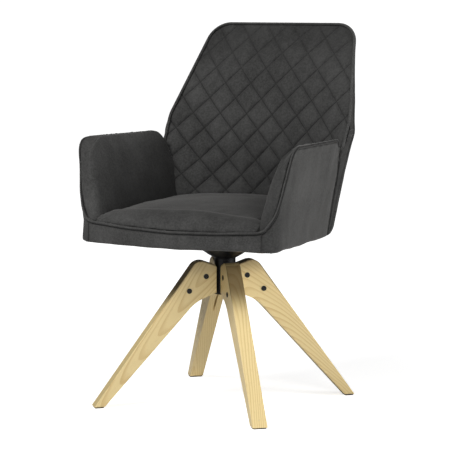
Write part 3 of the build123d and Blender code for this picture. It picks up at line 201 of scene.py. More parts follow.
SETTINGS = {
    "chair_quilt": ChairQuiltSettings,
    "chair_fabric": ChairFabricSettings,
    "chair_wood": ChairWoodSettings,
    "chair_metal": ChairMetalSettings,
    "chair_stage": ChairStageSettings,
}


# ---------------------------------------------------------------- shader maths
def add_node(tree, kind, settings=None, values=None):
    """A node of any kind: its settings first, then values or links by place or by name."""
    node = tree.nodes.new(kind)
    for key, value in (settings or {}).items():
        setattr(node, key, value)
    for key, value in (values or {}).items():
        if isinstance(value, bpy.types.NodeSocket):
            tree.links.new(value, node.inputs[key])
        else:
            node.inputs[key].default_value = value
    return node


def operator(operation, reflected=False):
    """A method of Value that adds a Math node."""
    def apply(self, other):
        values = [other, self] if reflected else [self, other]
        return self.graph.add("ShaderNodeMath", {"operation": operation}, values)
    return apply


class Value:
    """A node's output that takes part in Python expressions."""

    def __init__(self, graph, socket):
        self.graph = graph
        self.socket = socket

    def math(self, operation, *others):
        return self.graph.add("ShaderNodeMath", {"operation": operation}, [self, *others])

    __add__ = __radd__ = operator("ADD")
    __mul__ = __rmul__ = operator("MULTIPLY")
    __sub__, __rsub__ = operator("SUBTRACT"), operator("SUBTRACT", reflected=True)
    __truediv__, __rtruediv__ = operator("DIVIDE"), operator("DIVIDE", reflected=True)
    __pow__ = operator("POWER")

    def __abs__(self):
        return self.math("ABSOLUTE")

    def clamped(self):
        return self.math("MAXIMUM", 0.0).math("MINIMUM", 1.0)

    def rise(self, low, high):
        """0 below low, 1 above high and a smooth rise between them; high may be the lower one."""
        share = ((self - low) / (high - low)).clamped()
        return share * share * (3.0 - 2.0 * share)


class Graph:
    """The node tree of a new material or world."""

    def __init__(self, name, owners="materials"):
        self.owner = getattr(bpy.data, owners).new(name)
        self.owner.use_nodes = True
        self.tree = self.owner.node_tree
        self.tree.nodes.clear()

    def add(self, kind, settings=None, values=(), output=0):
        """A node of any kind and one of its outputs; values may be Values."""
        pairs = values.items() if isinstance(values, dict) else enumerate(values)
        plain = {key: value.socket if isinstance(value, Value) else value for key, value in pairs}
        return Value(self, add_node(self.tree, kind, settings, plain).outputs[output])

    def place(self):
        """Object coordinates."""
        return self.add("ShaderNodeTexCoord", output="Object")

    def parts(self, vector):
        """x, y and z of a vector."""
        node = self.add("ShaderNodeSeparateXYZ", None, [vector]).socket.node
        return [Value(self, node.outputs[i]) for i in range(3)]

    def vector(self, x, y, z):
        return self.add("ShaderNodeCombineXYZ", None, [x, y, z])

    def noise(self, vector, scale, detail=3.0, roughness=0.5):
        values = {"Vector": vector, "Scale": scale, "Detail": detail, "Roughness": roughness}
        return self.add("ShaderNodeTexNoise", {"noise_dimensions": "3D"}, values)

    def mix(self, share, a, b):
        """A colour between a and b."""
        a, b = [ink if isinstance(ink, Value) else (*ink, 1.0) for ink in (a, b)]
        return self.add("ShaderNodeMix", {"data_type": "RGBA"}, {0: share, 6: a, 7: b}, output=2)

    def attribute(self, name):
        return self.add("ShaderNodeAttribute", {"attribute_name": name}, output="Fac")

    def bump(self, height, distance, strength=1.0):
        values = {"Height": height, "Distance": distance, "Strength": strength}
        return self.add("ShaderNodeBump", None, values)

    def surface(self, constants, **varying):
        """A Principled shader; varying inputs are links, the constants plain numbers."""
        values = dict(constants)
        values.update({key.replace("_", " ").title(): value for key, value in varying.items()})
        shader = self.add("ShaderNodeBsdfPrincipled", None, values)
        return self.shown("ShaderNodeOutputMaterial", shader)

    def shown(self, kind, shader):
        """The finished material or world, with this shader on its output."""
        node = self.tree.nodes.new(kind)
        self.tree.links.new(shader.socket, node.inputs["Surface"])
        return self.owner


# ---------------------------------------------------------------- materials
def stitch_line_distance(x, z):
    """Metres from the nearest stitch line of the quilting, in front view."""
    across = (x - CROSSING_X * MM) / (DIAMOND_WIDTH * MM)
    up = (z - CROSSING_Z * MM) / (DIAMOND_HEIGHT * MM)
    spacing = MM / (DIAMOND_WIDTH ** -2 + DIAMOND_HEIGHT ** -2) ** 0.5
    one, two = [abs(line - line.math("ROUND")) for line in (across + up, across - up)]
    return one.math("MINIMUM", two) * spacing


def cover_fabric(name="charcoal_cloth", quilted=False):
    """Charcoal brushed cloth with a soft, uneven nap."""
    settings = bpy.context.scene.chair_fabric
    g = Graph(name)
    place = g.place()
    x, y, z = g.parts(place)
    patches = g.noise(place, 8.0, 5.0, 0.62)
    strokes = g.noise(g.vector(x, y, z * 0.35), 34.0, 3.0, 0.55)
    grain = g.noise(place, 210.0, 4.0, 0.75)
    nap = g.noise(place, 620.0, 3.0, 0.7)
    weave = g.noise(place, 1900.0, 1.0, 0.5)
    lift = patches.rise(0.33, 0.67) * 0.24 + strokes.rise(0.3, 0.72) * 0.18 - 0.09
    lift = (lift + grain.rise(0.36, 0.64) * 0.34 + nap * 0.26).clamped()
    base = g.mix(lift, settings.dark, settings.light)
    # Painted shade: the cloth is darkened towards the shade colour point by point; on quilted cloth it also gets
    # soft painted shade beside each stitch line and a thin dark painted line in each groove, both lighter towards
    # the top.
    crease = g.attribute("crease")
    if quilted:
        line = stitch_line_distance(x, z)
        fade = 0.8 - z.rise(0.62, 0.86) * 0.22
        beside = line.rise(0.014, 0.0) ** 2.0 * 0.34 * fade
        crease = crease + beside - crease * beside
        crease = crease.math("MAXIMUM", line.rise(0.0017, 0.0003) * fade)
    base = g.mix(crease, base, settings.crease)
    rough = 0.82 + nap * 0.14
    height = nap * 0.6 + weave * 0.4 + patches * 0.5
    constants = {
        "Sheen Weight": settings.sheen, "Sheen Roughness": 0.45,
        "Sheen Tint": (0.75, 0.74, 0.72, 1.0), "Specular IOR Level": 0.18,
    }
    return g.surface(constants, base_color=base, roughness=rough,
                     normal=g.bump(height, 0.0004, 0.5))


def thread_material():
    """Dark sewing thread with its twist."""
    settings = bpy.context.scene.chair_fabric
    g = Graph("thread")
    x, y, z = g.parts(g.place())
    twist = ((x + z) * 4200.0).math("SINE") * 0.5 + 0.5
    base = g.mix(twist * 0.4, settings.thread, settings.light)
    return g.surface({"Specular IOR Level": 0.25}, base_color=base, roughness=0.6 + twist * 0.2,
                     normal=g.bump(twist, 0.0001))


def leg_wood(name, azimuth, seed):
    """Pale lacquered wood whose rings run along one leg."""
    settings = bpy.context.scene.chair_wood
    g = Graph(name)
    x, y, z = g.parts(g.place())
    y = y - AXIS_Y
    turn, lean = radians(azimuth), radians(LEG_LEAN)
    out = x * cos(turn) + y * sin(turn)
    side = y * cos(turn) - x * sin(turn)
    along = out * cos(lean) - z * sin(lean)
    across = out * sin(lean) + z * cos(lean)
    drift = g.noise(g.vector(along * 2.2, across * 5.0, side * 5.0 + seed), 1.6, 2.0)
    pith_across = 0.222 + 0.013 * sin(seed * 2.1)
    pith_side = 0.034 * (1 if sin(seed * 3.7) > 0 else -1)
    tilt = 0.10 + 0.05 * sin(seed * 5.3)
    flat = across - pith_across + (drift - 0.5) * 0.030
    deep = side - pith_side + along * tilt
    radius = (flat * flat + deep * deep) ** 0.5
    ring = radius / settings.rings
    year = g.noise(g.vector(ring.math("FLOOR"), seed, 0.0), 3.7, 0.0)
    share = ring.math("FRACT")
    late = share.rise(0.45, 0.93) * share.rise(1.0, 0.95) * (0.45 + year * 0.9)
    fibre = g.noise(g.vector(along * 26.0, across * 900.0, side * 900.0), 1.0, 3.0, 0.6)
    fleck = g.noise(g.vector(along * 70.0, across * 1500.0, side * 1500.0 + seed), 1.0, 1.0)
    tone = g.noise(g.vector(along * 3.0, across * 22.0, side * 22.0 + seed), 1.0, 2.0)
    # Painted shadow under the seat: along the legs' upper outer edges, over their crowns and on their top parts.
    edge = out * 0.809 + z * 0.588 - 0.2606
    crown = z * 0.942 - out * 0.336 - 0.3017
    painted_seat_shadow = edge.rise(-0.004, -0.001) * z.rise(0.23, 0.29)
    painted_seat_shadow = painted_seat_shadow.math("MAXIMUM", crown.rise(-0.006, -0.001) * z.rise(0.30, 0.32))
    painted_seat_shadow = painted_seat_shadow.math("MAXIMUM", z.rise(0.30, 0.345) * 0.6)
    base = g.mix((late * 0.75 + (fibre - 0.5) * 0.35).clamped(), settings.early, settings.late)
    base = g.mix(tone.rise(0.45, 0.75) * 0.25, base, settings.late)
    base = g.mix(fleck.rise(0.66, 0.74) * 0.35, base, settings.shade)
    base = g.mix(painted_seat_shadow * 0.8, base, settings.seat_shadow_colour)
    rough = 0.34 + fibre * 0.12 + late * 0.06
    height = fibre * 0.5 + late * 0.5
    constants = {"Coat Roughness": 0.22, "Coat IOR": 1.45, "Specular IOR Level": 0.4}
    return g.surface(constants, base_color=base, roughness=rough, coat_weight=0.25 + tone * 0.1,
                     normal=g.bump(height, 0.00012, 0.6))


def raw_wood(name, stretch, detail, share, dark, rough, veneer=0.0):
    """Raw wood with fine fibres along x; plywood has veneers, whose thickness is in metres."""
    g = Graph(name)
    x, y, z = g.parts(g.place())
    fibre = g.noise(g.vector(x * stretch[0], y * stretch[1], z * stretch[1]), 1.0, detail)
    tone = fibre * share
    if veneer:
        tone = tone + (z / veneer + fibre * 0.3).math("FRACT").rise(0.4, 0.6) * 0.3
    base = g.mix(tone, bpy.context.scene.chair_metal.ply, dark)
    return g.surface({"Specular IOR Level": 0.3}, base_color=base, roughness=rough + fibre * 0.2,
                     normal=g.bump(fibre, 0.0002))


def black_metal():
    """Satin black powder coat with a fine orange peel and rubbed high spots."""
    g = Graph("black_metal")
    peel = g.noise(g.place(), 900.0, 2.0)
    dust = g.noise(g.place(), 60.0, 4.0, 0.6)
    black = bpy.context.scene.chair_metal.black
    return g.surface({"Specular IOR Level": 0.4}, normal=g.bump(peel, 0.00012, 0.5),
                     base_color=g.mix(dust.rise(0.5, 0.8) * 0.5, black, (0.018, 0.018, 0.019)),
                     roughness=0.36 + dust * 0.16)


def grained(name, base, light, constants, scale, detail, rough, bump, grit=0.5, worn=False):
    """A plain material with a fine grain; rough is (start, span) and bump (depth, strength)."""
    g = Graph(name)
    grain = g.noise(g.place(), scale, detail, grit)
    share = g.noise(g.place(), 45.0, 3.0) * 0.4 if worn else grain
    return g.surface(constants, base_color=g.mix(share, base, light),
                     roughness=rough[0] + grain * rough[1], normal=g.bump(grain, *bump))


def cad_materials():
    """The materials of the CAD nodes other than the legs, by slot."""
    settings = bpy.context.scene.chair_metal
    plastic = dict(constants={"Specular IOR Level": 0.4}, scale=700.0, detail=2.0,
                   rough=(0.5, 0.2), bump=(0.0001, 0.5), worn=True)
    return {
        "black_metal": black_metal(),
        "zinc_steel": grained("zinc_steel", settings.zinc, (0.40, 0.40, 0.37), {"Metallic": 1.0},
                              300.0, 3.0, (0.28, 0.2), (0.00008, 0.5)),
        "plywood": raw_wood("plywood", (40.0, 400.0), 3.0, 0.5, (0.34, 0.22, 0.11), 0.6, 0.0015),
        "rail_wood": raw_wood("rail_wood", (25.0, 500.0), 4.0, 0.6, (0.42, 0.28, 0.14), 0.55),
        "dust_cloth": grained("dust_cloth", (0.010,) * 3, (0.035,) * 3, {"Sheen Weight": 0.15},
                              800.0, 4.0, (0.85, 0.1), (0.0003, 0.7), grit=0.7),
        "glide_plastic": grained("glide_plastic", settings.plastic, (0.05, 0.05, 0.05), **plastic),
        "bearing_plastic": grained("bearing_plastic", settings.natural, (0.8, 0.8, 0.76),
                                   **plastic),
    }


# ---------------------------------------------------------------- lines and surfaces
def rise(value, low, high):
    """0 below low, 1 above high and a smooth rise between them; high may be the lower one."""
    share = np.clip((value - low) / (high - low), 0.0, 1.0)
    return share * share * (3 - 2 * share)


def unit(vector):
    return vector / np.linalg.norm(vector)


def run_along(line):
    """The way along a line of points from its start to each of them."""
    return np.concatenate([[0.0], np.cumsum(np.linalg.norm(np.diff(line, axis=0), axis=1))])


def points_at(line, run, places):
    """Points of a line at places along it."""
    return np.stack([np.interp(places, run, line[:, k]) for k in range(line.shape[1])], axis=1)


def resampled(line, step):
    """Points about a step apart along a line of points."""
    run = run_along(line)
    return points_at(line, run, np.linspace(0.0, run[-1], max(2, int(run[-1] / step) + 1)))


def columns_along(line, count):
    """A number of points along a line of points, closer together towards its end."""
    run = run_along(line)
    return points_at(line, run, run[-1] * (1 - (1 - np.linspace(0.0, 1.0, count)) ** 1.5))


def rounded(corners, step):
    """A line through corners, each a point with the radius that it is rounded with."""
    points = [np.array(point, float) for point, radius in corners]
    line = [points[0]]
    for k in range(1, len(points) - 1):
        before, corner, after = points[k - 1], points[k], points[k + 1]
        radius = corners[k][1]
        a, b = unit(before - corner), unit(after - corner)
        half = np.arccos(np.clip(a @ b, -1.0, 1.0)) / 2
        centre = corner + unit(a + b) * radius / np.sin(half)
        start = corner + a * radius / np.tan(half) - centre
        end = corner + b * radius / np.tan(half) - centre
        turn = pi - 2 * half
        for t in np.linspace(0.0, 1.0, max(3, int(radius * turn / step) + 2)):
            swung = np.sin((1 - t) * turn) * start + np.sin(t * turn) * end
            line.append(centre + swung / np.sin(turn))
    line.append(points[-1])
    return resampled(np.array(line), step)


def with_left(right, half):
    """The corners of the right half, and those of half mirrored to the left in reverse order."""
    return [*right, *[((-point[0], *point[1:]), radius) for point, radius in reversed(half)]]


def piping_line():
    """Centreline of the cord along both arms and across the seat."""
    return rounded(with_left(PIPING_FRONT, PIPING_FRONT[:-1]), PIPING_STEP)


def level_value(height, column):
    """A column of BACK_LEVELS at any heights, with smooth changes between the levels."""
    heights, values = BACK_LEVELS[:, 0], BACK_LEVELS[:, column]
    slopes = np.gradient(values, heights)
    height = np.clip(height, heights[0], heights[-1])
    k = np.clip(np.searchsorted(heights, height) - 1, 0, len(heights) - 2)
    span = heights[k + 1] - heights[k]
    t = (height - heights[k]) / span
    share = t * t * (3 - 2 * t)
    pull = t * (1 - t) * span * ((1 - t) * slopes[k] - t * slopes[k + 1])
    return values[k] * (1 - share) + values[k + 1] * share + pull


def arm_level(height, column):
    """A column of ARM_LEVELS at any heights."""
    return np.interp(height, ARM_LEVELS[:, 0], ARM_LEVELS[:, column])


def half_width(height):
    """Half width of the back before its corners are rounded."""
    return np.interp(height, [BACK_LOW, BACK_WIDE, BACK_TOP],
                     [BACK_HALF_LOW, BACK_HALF_WIDE, BACK_HALF_TOP])


def between(share, height, front_column, rear_column):
    """Y at a share of the way from one column of BACK_LEVELS to another."""
    front, rear = level_value(height, front_column), level_value(height, rear_column)
    return front + (rear - front) * share


def back_y(share, x, height):
    """Y of the back at a share of its thickness."""
    middle = between(share, height, FRONT_MIDDLE, REAR_MIDDLE)
    edge = between(share, height, FRONT_EDGE, REAR_EDGE)
    return middle - (middle - edge) * (x / half_width(height)) ** 2


def back_outline(step):
    """Right half of the back's outline in front view, from its foot to the middle of its top."""
    corners = [((BACK_HALF_LOW, BACK_LOW), 0), ((BACK_HALF_WIDE, BACK_WIDE), BACK_SIDE_ROUND),
               ((BACK_HALF_TOP, BACK_TOP), BACK_CORNER), ((0.0, BACK_TOP), 0)]
    return rounded(corners, step)


def back_side(step):
    """The back's outline from its foot to its top corner."""
    outline = back_outline(step)
    return outline[: np.argmax(outline[:, 1] >= BACK_TOP - 0.01) + 1]


def quilt_depth(x, z, settings):
    """How deep the quilting lies under the diamonds' middles, in millimetres."""
    across = (x - CROSSING_X) / DIAMOND_WIDTH
    up = (z - CROSSING_Z) / DIAMOND_HEIGHT
    spacing = (DIAMOND_WIDTH ** -2 + DIAMOND_HEIGHT ** -2) ** -0.5
    one, two = [np.abs(line - np.round(line)) * spacing for line in (across + up, across - up)]
    puff, valley = settings.puff / MM, settings.valley / MM
    raised = (1 - np.exp(-one / valley)) * (1 - np.exp(-two / valley))
    narrow = np.exp(-(np.minimum(one, two) / (settings.groove_width / MM)) ** 2)
    cell = np.floor(across + up) * 12.9898 + np.floor(across - up) * 78.233
    uneven = 1 + 0.16 * np.sin(cell * 43.7)
    flat = 0.4 * rise(z, 640.0, 850.0)
    return puff * (1 - (1 - flat) * raised * uneven) + settings.groove / MM * narrow


def waves(points, size, height, seed, stretch=(1.0, 1.0, 1.0)):
    """Smooth random heights in millimetres at points, for waves of a size in millimetres."""
    scaled = points / size * np.array(stretch)
    shift = Vector((seed * 7.3, seed * 3.1, seed * 5.7))
    found = [noise.noise(Vector(p) + shift) for p in scaled]
    return np.array(found) * height


# ---------------------------------------------------------------- meshes
def frame_points(points):
    """Points in millimetres from the swivel axis as metres in the row frame."""
    placed = np.array(points, float) * MM
    placed[:, 1] += AXIS_Y
    return placed


def vertex_values(mesh, what):
    """Three numbers of each of a mesh's vertices."""
    found = np.zeros(len(mesh.vertices) * 3, np.float32)
    mesh.vertices.foreach_get(what, found)
    return found.reshape(-1, 3).astype(float)


def axis_points(mesh):
    """A mesh's points in millimetres from the swivel axis."""
    found = vertex_values(mesh, "co")
    found[:, 1] -= AXIS_Y
    return found / MM


def set_axis_points(mesh, points):
    mesh.vertices.foreach_set("co", frame_points(points).astype(np.float32).ravel())
    mesh.update()


def points_normals(piece):
    """A piece's points in millimetres from the swivel axis, and its normals there."""
    return axis_points(piece.data), vertex_values(piece.data, "normal")


def new_mesh(name, points, faces):
    """A smooth-shaded object from points in millimetres from the swivel axis."""
    mesh = bpy.data.meshes.new(name)
    mesh.from_pydata(frame_points(points).tolist(), [], faces)
    mesh.validate()
    return linked(name, mesh)


def placed(name, data):
    """A new object in the scene."""
    piece = bpy.data.objects.new(name, data)
    bpy.context.scene.collection.objects.link(piece)
    return piece


def linked(name, mesh):
    """A piece with this mesh, smooth-shaded."""
    mesh.name = name
    mesh.polygons.foreach_set("use_smooth", [True] * len(mesh.polygons))
    return placed(name, mesh)


def with_modifier(piece, kind, **settings):
    """The piece with a modifier's result as its mesh."""
    modifier = piece.modifiers.new(kind.lower(), kind)
    for key, value in settings.items():
        setattr(modifier, key, value)
    return settled(piece)


def settled(piece):
    """The piece with the result of its modifiers as its mesh."""
    graph = bpy.context.evaluated_depsgraph_get()
    mesh = bpy.data.meshes.new_from_object(piece.evaluated_get(graph))
    piece.modifiers.clear()
    old, name = piece.data, piece.data.name
    piece.data = mesh
    bpy.data.meshes.remove(old)
    mesh.name = name
    return piece


def node_copy(name, *nodes):
    """One merged mesh from copies of CAD nodes."""
    whole = bmesh.new()
    for node in nodes:
        whole.from_mesh(frame["nodes"][node].data)
    bmesh.ops.remove_doubles(whole, verts=whole.verts, dist=0.01 * MM)
    mesh = bpy.data.meshes.new(name)
    whole.to_mesh(mesh)
    whole.free()
    return linked(name, mesh)


def soft_copy(name, nodes, voxel, smoothing=4):
    """CAD solids remeshed into one even, softened form."""
    piece = node_copy(name, *nodes)
    with_modifier(piece, "REMESH", mode="VOXEL", voxel_size=voxel, use_smooth_shade=True)
    return with_modifier(piece, "SMOOTH", factor=0.5, iterations=smoothing)


def write_painted_shade(piece, values):
    """Writes a piece's painted shade: how much darker than the open cloth it is painted, point by point."""
    held = piece.data.attributes
    layer = held.get("crease") or held.new("crease", "FLOAT", "POINT")
    layer.data.foreach_set("value", np.asarray(values, np.float32))


def nearest_in(line, points):
    """For each point the nearest one of a line: its place, its index and how far it is."""
    tree = KDTree(len(line))
    for k, place in enumerate(line):
        tree.insert(place, k)
    tree.balance()
    return [tree.find(p) for p in points]


def near_line(points, line):
    """Distance to a line of points and the place along it, in millimetres."""
    found, run = nearest_in(line, points), run_along(line)
    return np.array([f[2] for f in found]), np.array([run[f[1]] for f in found])


def skin_tree(*pieces):
    """A tree that finds places on the faces of pieces, in millimetres from the swivel axis."""
    points, faces = [], []
    for piece in pieces:
        first = len(points)
        points += axis_points(piece.data).tolist()
        faces += [[first + v for v in polygon.vertices] for polygon in piece.data.polygons]
    return BVHTree.FromPolygons(points, faces)


def boundary_loop(faces):
    """The points on the open edge of a net of faces, in order."""
    edges = {}
    for face in faces:
        for pair in zip(face, face[1:] + face[:1]):
            key = tuple(sorted(pair))
            edges[key] = edges.get(key, 0) + 1
    after = {}
    for (a, b), count in edges.items():
        if count == 1:
            after.setdefault(a, []).append(b)
            after.setdefault(b, []).append(a)
    start = min(after)
    loop = [start, after[start][0]]
    while True:
        ahead = [v for v in after[loop[-1]] if v != loop[-2]]
        if not ahead or ahead[0] == start:
            return loop
        loop.append(ahead[0])


def quilt_net(low, splits):
    """A flat net in front view: points (x, z), and triangles along the stitch lines."""
    side = back_side(OUTLINE_STEP)
    step_x, step_z = DIAMOND_WIDTH / 2 / splits, DIAMOND_HEIGHT / 2 / splits
    columns = np.arange(int((-BACK_HALF_WIDE - CROSSING_X) / step_x) - 1,
                        int((BACK_HALF_WIDE - CROSSING_X) / step_x) + 2)
    rows = np.arange(int((low - CROSSING_Z) / step_z), int((BACK_TOP - CROSSING_Z) / step_z) + 2)
    x, z = np.meshgrid(CROSSING_X + columns * step_x, CROSSING_Z + rows * step_z)
    inside = (np.abs(x) < np.interp(z, side[:, 1], side[:, 0])) & (z > low) & (z < BACK_TOP)
    whole = inside[:-1, :-1] & inside[:-1, 1:] & inside[1:, 1:] & inside[1:, :-1]
    used = np.zeros(x.shape, bool)
    for corner in (used[:-1, :-1], used[:-1, 1:], used[1:, 1:], used[1:, :-1]):
        corner |= whole
    numbers = -np.ones(x.shape, int)
    numbers[used] = np.arange(used.sum())
    cell = (rows[:-1, None] // splits + columns[None, :-1] // splits) % 2
    faces = []
    for j, i in zip(*np.nonzero(whole)):
        a, b = numbers[j, i], numbers[j, i + 1]
        c, d = numbers[j + 1, i + 1], numbers[j + 1, i]
        faces += [(a, b, c), (a, c, d)] if cell[j, i] == 0 else [(a, b, d), (b, c, d)]
    return np.stack([x[used], z[used]], axis=1), [tuple(int(v) for v in face) for face in faces]


def on_outline(points, low):
    """The nearest points on the back's outline, cut off at a low edge."""
    right = back_outline(OUTLINE_STEP)
    right = right[right[:, 1] >= low]
    steps = np.arange(0.0, right[0, 0], OUTLINE_STEP)
    foot = np.stack([steps, np.full(len(steps), low)], axis=1)
    half = np.concatenate([foot, right])
    line = np.concatenate([half, half * [-1, 1]])
    gaps = ((points[:, None, :] - line[None, :, :]) ** 2).sum(axis=2)
    return line[np.argmin(gaps, axis=1)]


# ---------------------------------------------------------------- Geometry Nodes
class Tree:
    """A Geometry Nodes tree with named inputs."""

    def __init__(self, name):
        self.tree = bpy.data.node_groups.new(name, "GeometryNodeTree")
        for way in ("INPUT", "OUTPUT"):
            self.tree.interface.new_socket("Geometry", in_out=way,
                                           socket_type="NodeSocketGeometry")
        self.start = self.tree.nodes.new("NodeGroupInput")
        self.end = self.tree.nodes.new("NodeGroupOutput")

    def socket(self, name, kind="NodeSocketFloat"):
        """A named input, and the output of the group's start that gives it."""
        self.tree.interface.new_socket(name, in_out="INPUT", socket_type=kind)
        return self.start.outputs[name]

    def add(self, kind, settings=None, values=None):
        return add_node(self.tree, kind, settings, values)

    def maths(self, operation, a, b):
        return self.add("ShaderNodeMath", {"operation": operation}, {0: a, 1: b}).outputs[0]

    def curve(self):
        """The lines that the tree is run on, as a curve."""
        head = {"Mesh": self.start.outputs["Geometry"]}
        return self.add("GeometryNodeMeshToCurve", None, head).outputs["Curve"]

    def finished(self, geometry, material):
        """The finished tree, which gives out this geometry, smooth and in a material."""
        smooth = self.add("GeometryNodeSetShadeSmooth", None, {"Geometry": geometry})
        painted = self.add("GeometryNodeSetMaterial", None, {
            "Geometry": smooth.outputs["Geometry"], "Material": material})
        self.tree.links.new(painted.outputs["Geometry"], self.end.inputs[0])
        return self

    def applied(self, piece, values):
        """Runs the tree on a piece and leaves a plain mesh."""
        modifier = piece.modifiers.new(self.tree.name, "NODES")
        modifier.node_group = self.tree
        for item in self.tree.interface.items_tree:
            if item.item_type == "SOCKET" and item.in_out == "INPUT" and item.name in values:
                modifier[item.identifier] = values[item.name]
        settled(piece)


def cord_tree():
    """A round cord along a line of edges, with the soft folds of its cloth."""
    t = Tree("cord")
    radius, fold = t.socket("Radius"), t.socket("Fold")
    material = t.socket("Material", "NodeSocketMaterial")
    ring = t.add("GeometryNodeCurvePrimitiveCircle", None, {"Resolution": 14, "Radius": radius})
    tube = t.add("GeometryNodeCurveToMesh", None, {
        "Curve": t.curve(), "Profile Curve": ring.outputs["Curve"], "Fill Caps": True})
    bumps = t.add("ShaderNodeTexNoise", None, {"Scale": 210.0, "Detail": 2.0})
    size = t.maths("MULTIPLY", t.maths("SUBTRACT", bumps.outputs[0], 0.5), fold)
    normal = t.add("GeometryNodeInputNormal")
    push = t.add("ShaderNodeVectorMath", {"operation": "SCALE"},
                 {0: normal.outputs[0], "Scale": size})
    moved = t.add("GeometryNodeSetPosition", None, {
        "Geometry": tube.outputs["Mesh"], "Offset": push.outputs["Vector"]})
    return t.finished(moved.outputs["Geometry"], material)


def stitch_tree():
    """One stitch after another along lines of edges, with a little unevenness."""
    t = Tree("stitches")
    pitch, run = t.socket("Pitch"), t.socket("Length")
    thread, seed = t.socket("Thread"), t.socket("Seed", "NodeSocketInt")
    material = t.socket("Material", "NodeSocketMaterial")
    places = t.add("GeometryNodeCurveToPoints", {"mode": "LENGTH"}, {
        "Curve": t.curve(), "Length": pitch})
    bead = t.add("GeometryNodeMeshUVSphere", None, {
        "Segments": 6, "Rings": 4, "Radius": t.maths("MULTIPLY", thread, 0.5)})
    spread = t.add("FunctionNodeRandomValue", {"data_type": "FLOAT"}, {
        "Min": 0.85, "Max": 1.1, "Seed": seed})
    uneven = next(o for o in spread.outputs if o.enabled)
    reach = t.maths("MULTIPLY", t.maths("DIVIDE", run, thread), uneven)
    size = t.add("ShaderNodeCombineXYZ", None, {"X": 1.0, "Y": 1.0, "Z": reach})
    turned = t.add("FunctionNodeAlignRotationToVector", {"axis": "Z"}, {
        "Vector": places.outputs["Tangent"]})
    set_out = t.add("GeometryNodeInstanceOnPoints", None, {
        "Points": places.outputs["Points"], "Instance": bead.outputs["Mesh"],
        "Rotation": turned.outputs["Rotation"], "Scale": size.outputs[0]})
    real = t.add("GeometryNodeRealizeInstances", None, {"Geometry": set_out.outputs["Instances"]})
    return t.finished(real.outputs["Geometry"], material)


def line_object(name, lines):
    """A mesh of edges along lines of points in millimetres from the swivel axis."""
    points, edges = [], []
    for line in lines:
        first = len(points)
        points += [tuple(p) for p in line]
        edges += [(first + k, first + k + 1) for k in range(len(line) - 1)]
    mesh = bpy.data.meshes.new(name)
    mesh.from_pydata(frame_points(points).tolist(), edges, [])
    return linked(name, mesh)


def painted(piece, material):
    piece.data.materials.clear()
    piece.data.materials.append(material)


def seated(piece, material, nodes=()):
    """Gives a piece of the seat its material in one slot, attaches it to the seat and hides the nodes it stands
    for.
    """
    painted(piece, material)
    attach(piece, "seat")
    if nodes:
        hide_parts(*nodes)


def shared_material(name, make):
    return bpy.data.materials.get(name) or make()


# ---------------------------------------------------------------- the quilted back
def back_piping_line():
    """Centreline of the cord round the front edge of the back."""
    right = []
    for height, radius in ((606.0, 0), (670.0, 100), (BACK_TOP, 56)):
        edge = (float(half_width(height)), float(level_value(height, FRONT_EDGE)), height)
        right.append((edge, radius))
    return rounded(with_left(right, right), PIPING_STEP)


def curled(height, radius):
    """How far a quarter of a round of a radius curls in at a height over its foot."""
    above = np.clip(height, 0.0, radius)
    return radius - np.sqrt(radius ** 2 - (radius - above) ** 2)


def tuck(z):
    """How far the foot of the rear cover curves in, in millimetres."""
    return curled(z - BACK_LOW, FOOT_ROUND)


def quilted_side(share, outward, low):
    """Points of a quilted face of the back, its triangles, and the loop of its edge."""
    settings = bpy.context.scene.chair_quilt
    net, faces = quilt_net(low, settings.splits)
    loop = boundary_loop(faces)
    net[loop] = on_outline(net[loop], low)
    x, z = net.T
    flat = np.stack([x, np.zeros_like(x), z], axis=1)
    edge = near_line(flat, flat[loop])[0]
    depth = quilt_depth(x, z, settings)
    if outward > 0:
        thickness = back_y(1.0, x, z) - back_y(0.0, x, z)
        depth = depth * np.clip(thickness / FULL_THICKNESS, 0.3, 1.0)
    hem = np.exp(-edge / EDGE_REACH)
    depth = depth * (1 - hem) + hem * EDGE_DEPTH
    y = back_y(share, x, z) - outward * depth
    if outward > 0:
        y -= tuck(z)
    return np.stack([x, y, z], axis=1), faces, loop


def rim_rings(points, loop, offsets):
    """Rings of points beside a loop: for each, y and how far it stands out in front view."""
    ring = points[loop][:, [0, 2]]
    along = np.roll(ring, -1, axis=0) - np.roll(ring, 1, axis=0)
    out = np.stack([along[:, 1], -along[:, 0]], axis=1)
    out /= np.linalg.norm(out, axis=1)[:, None] + 1e-9
    if ((ring - ring.mean(axis=0)) * out).sum() < 0:
        out = -out
    return [np.stack([ring[:, 0] + out[:, 0] * o, y, ring[:, 1] + out[:, 1] * o], axis=1)
            for y, o in offsets]


def turned_out(piece):
    """Recalculates the normals of a closed piece so that they point outwards."""
    shape = bmesh.new()
    shape.from_mesh(piece.data)
    bmesh.ops.remove_doubles(shape, verts=shape.verts, dist=0.005 * MM)
    bmesh.ops.recalc_face_normals(shape, faces=shape.faces)
    shape.to_mesh(piece.data)
    shape.free()
    return piece


def quilted_shell(name, share, outward, low, rim):
    """A closed form with a quilted face, a rim of rings and a plain face inside the back."""
    points, faces, loop = quilted_side(share, outward, low)
    rings = rim_rings(points, loop, rim(points[loop]))
    inner = points.copy()
    inner[:, 1] = back_y(0.5, points[:, 0], points[:, 2]) + outward * 0.3
    inner[loop] = rings[-1]
    count, total = len(loop), len(points)
    shift = total + count * (len(rings) - 1)
    starts = [list(loop), *[range(first, first + count) for first in range(total, shift, count)],
              [v + shift for v in loop]]
    strips = []
    for before, after in zip(starts, starts[1:]):
        for k in range(count):
            n = (k + 1) % count
            strips.append((before[k], before[n], after[n], after[k]))
    back_faces = [(c + shift, b + shift, a + shift) for a, b, c in faces]
    everything = np.concatenate([points, *rings[:-1], inner])
    return turned_out(new_mesh(name, everything, faces + strips + back_faces))


def pad_rim(edge):
    """The narrow side of the front cover: y and how far it stands out, ring by ring."""
    rear = back_y(0.5, edge[:, 0], edge[:, 2]) - 0.3
    return [(edge[:, 1] + 3.0, 0.2), (edge[:, 1] + 7.0, -2.5), (rear, -3.0)]


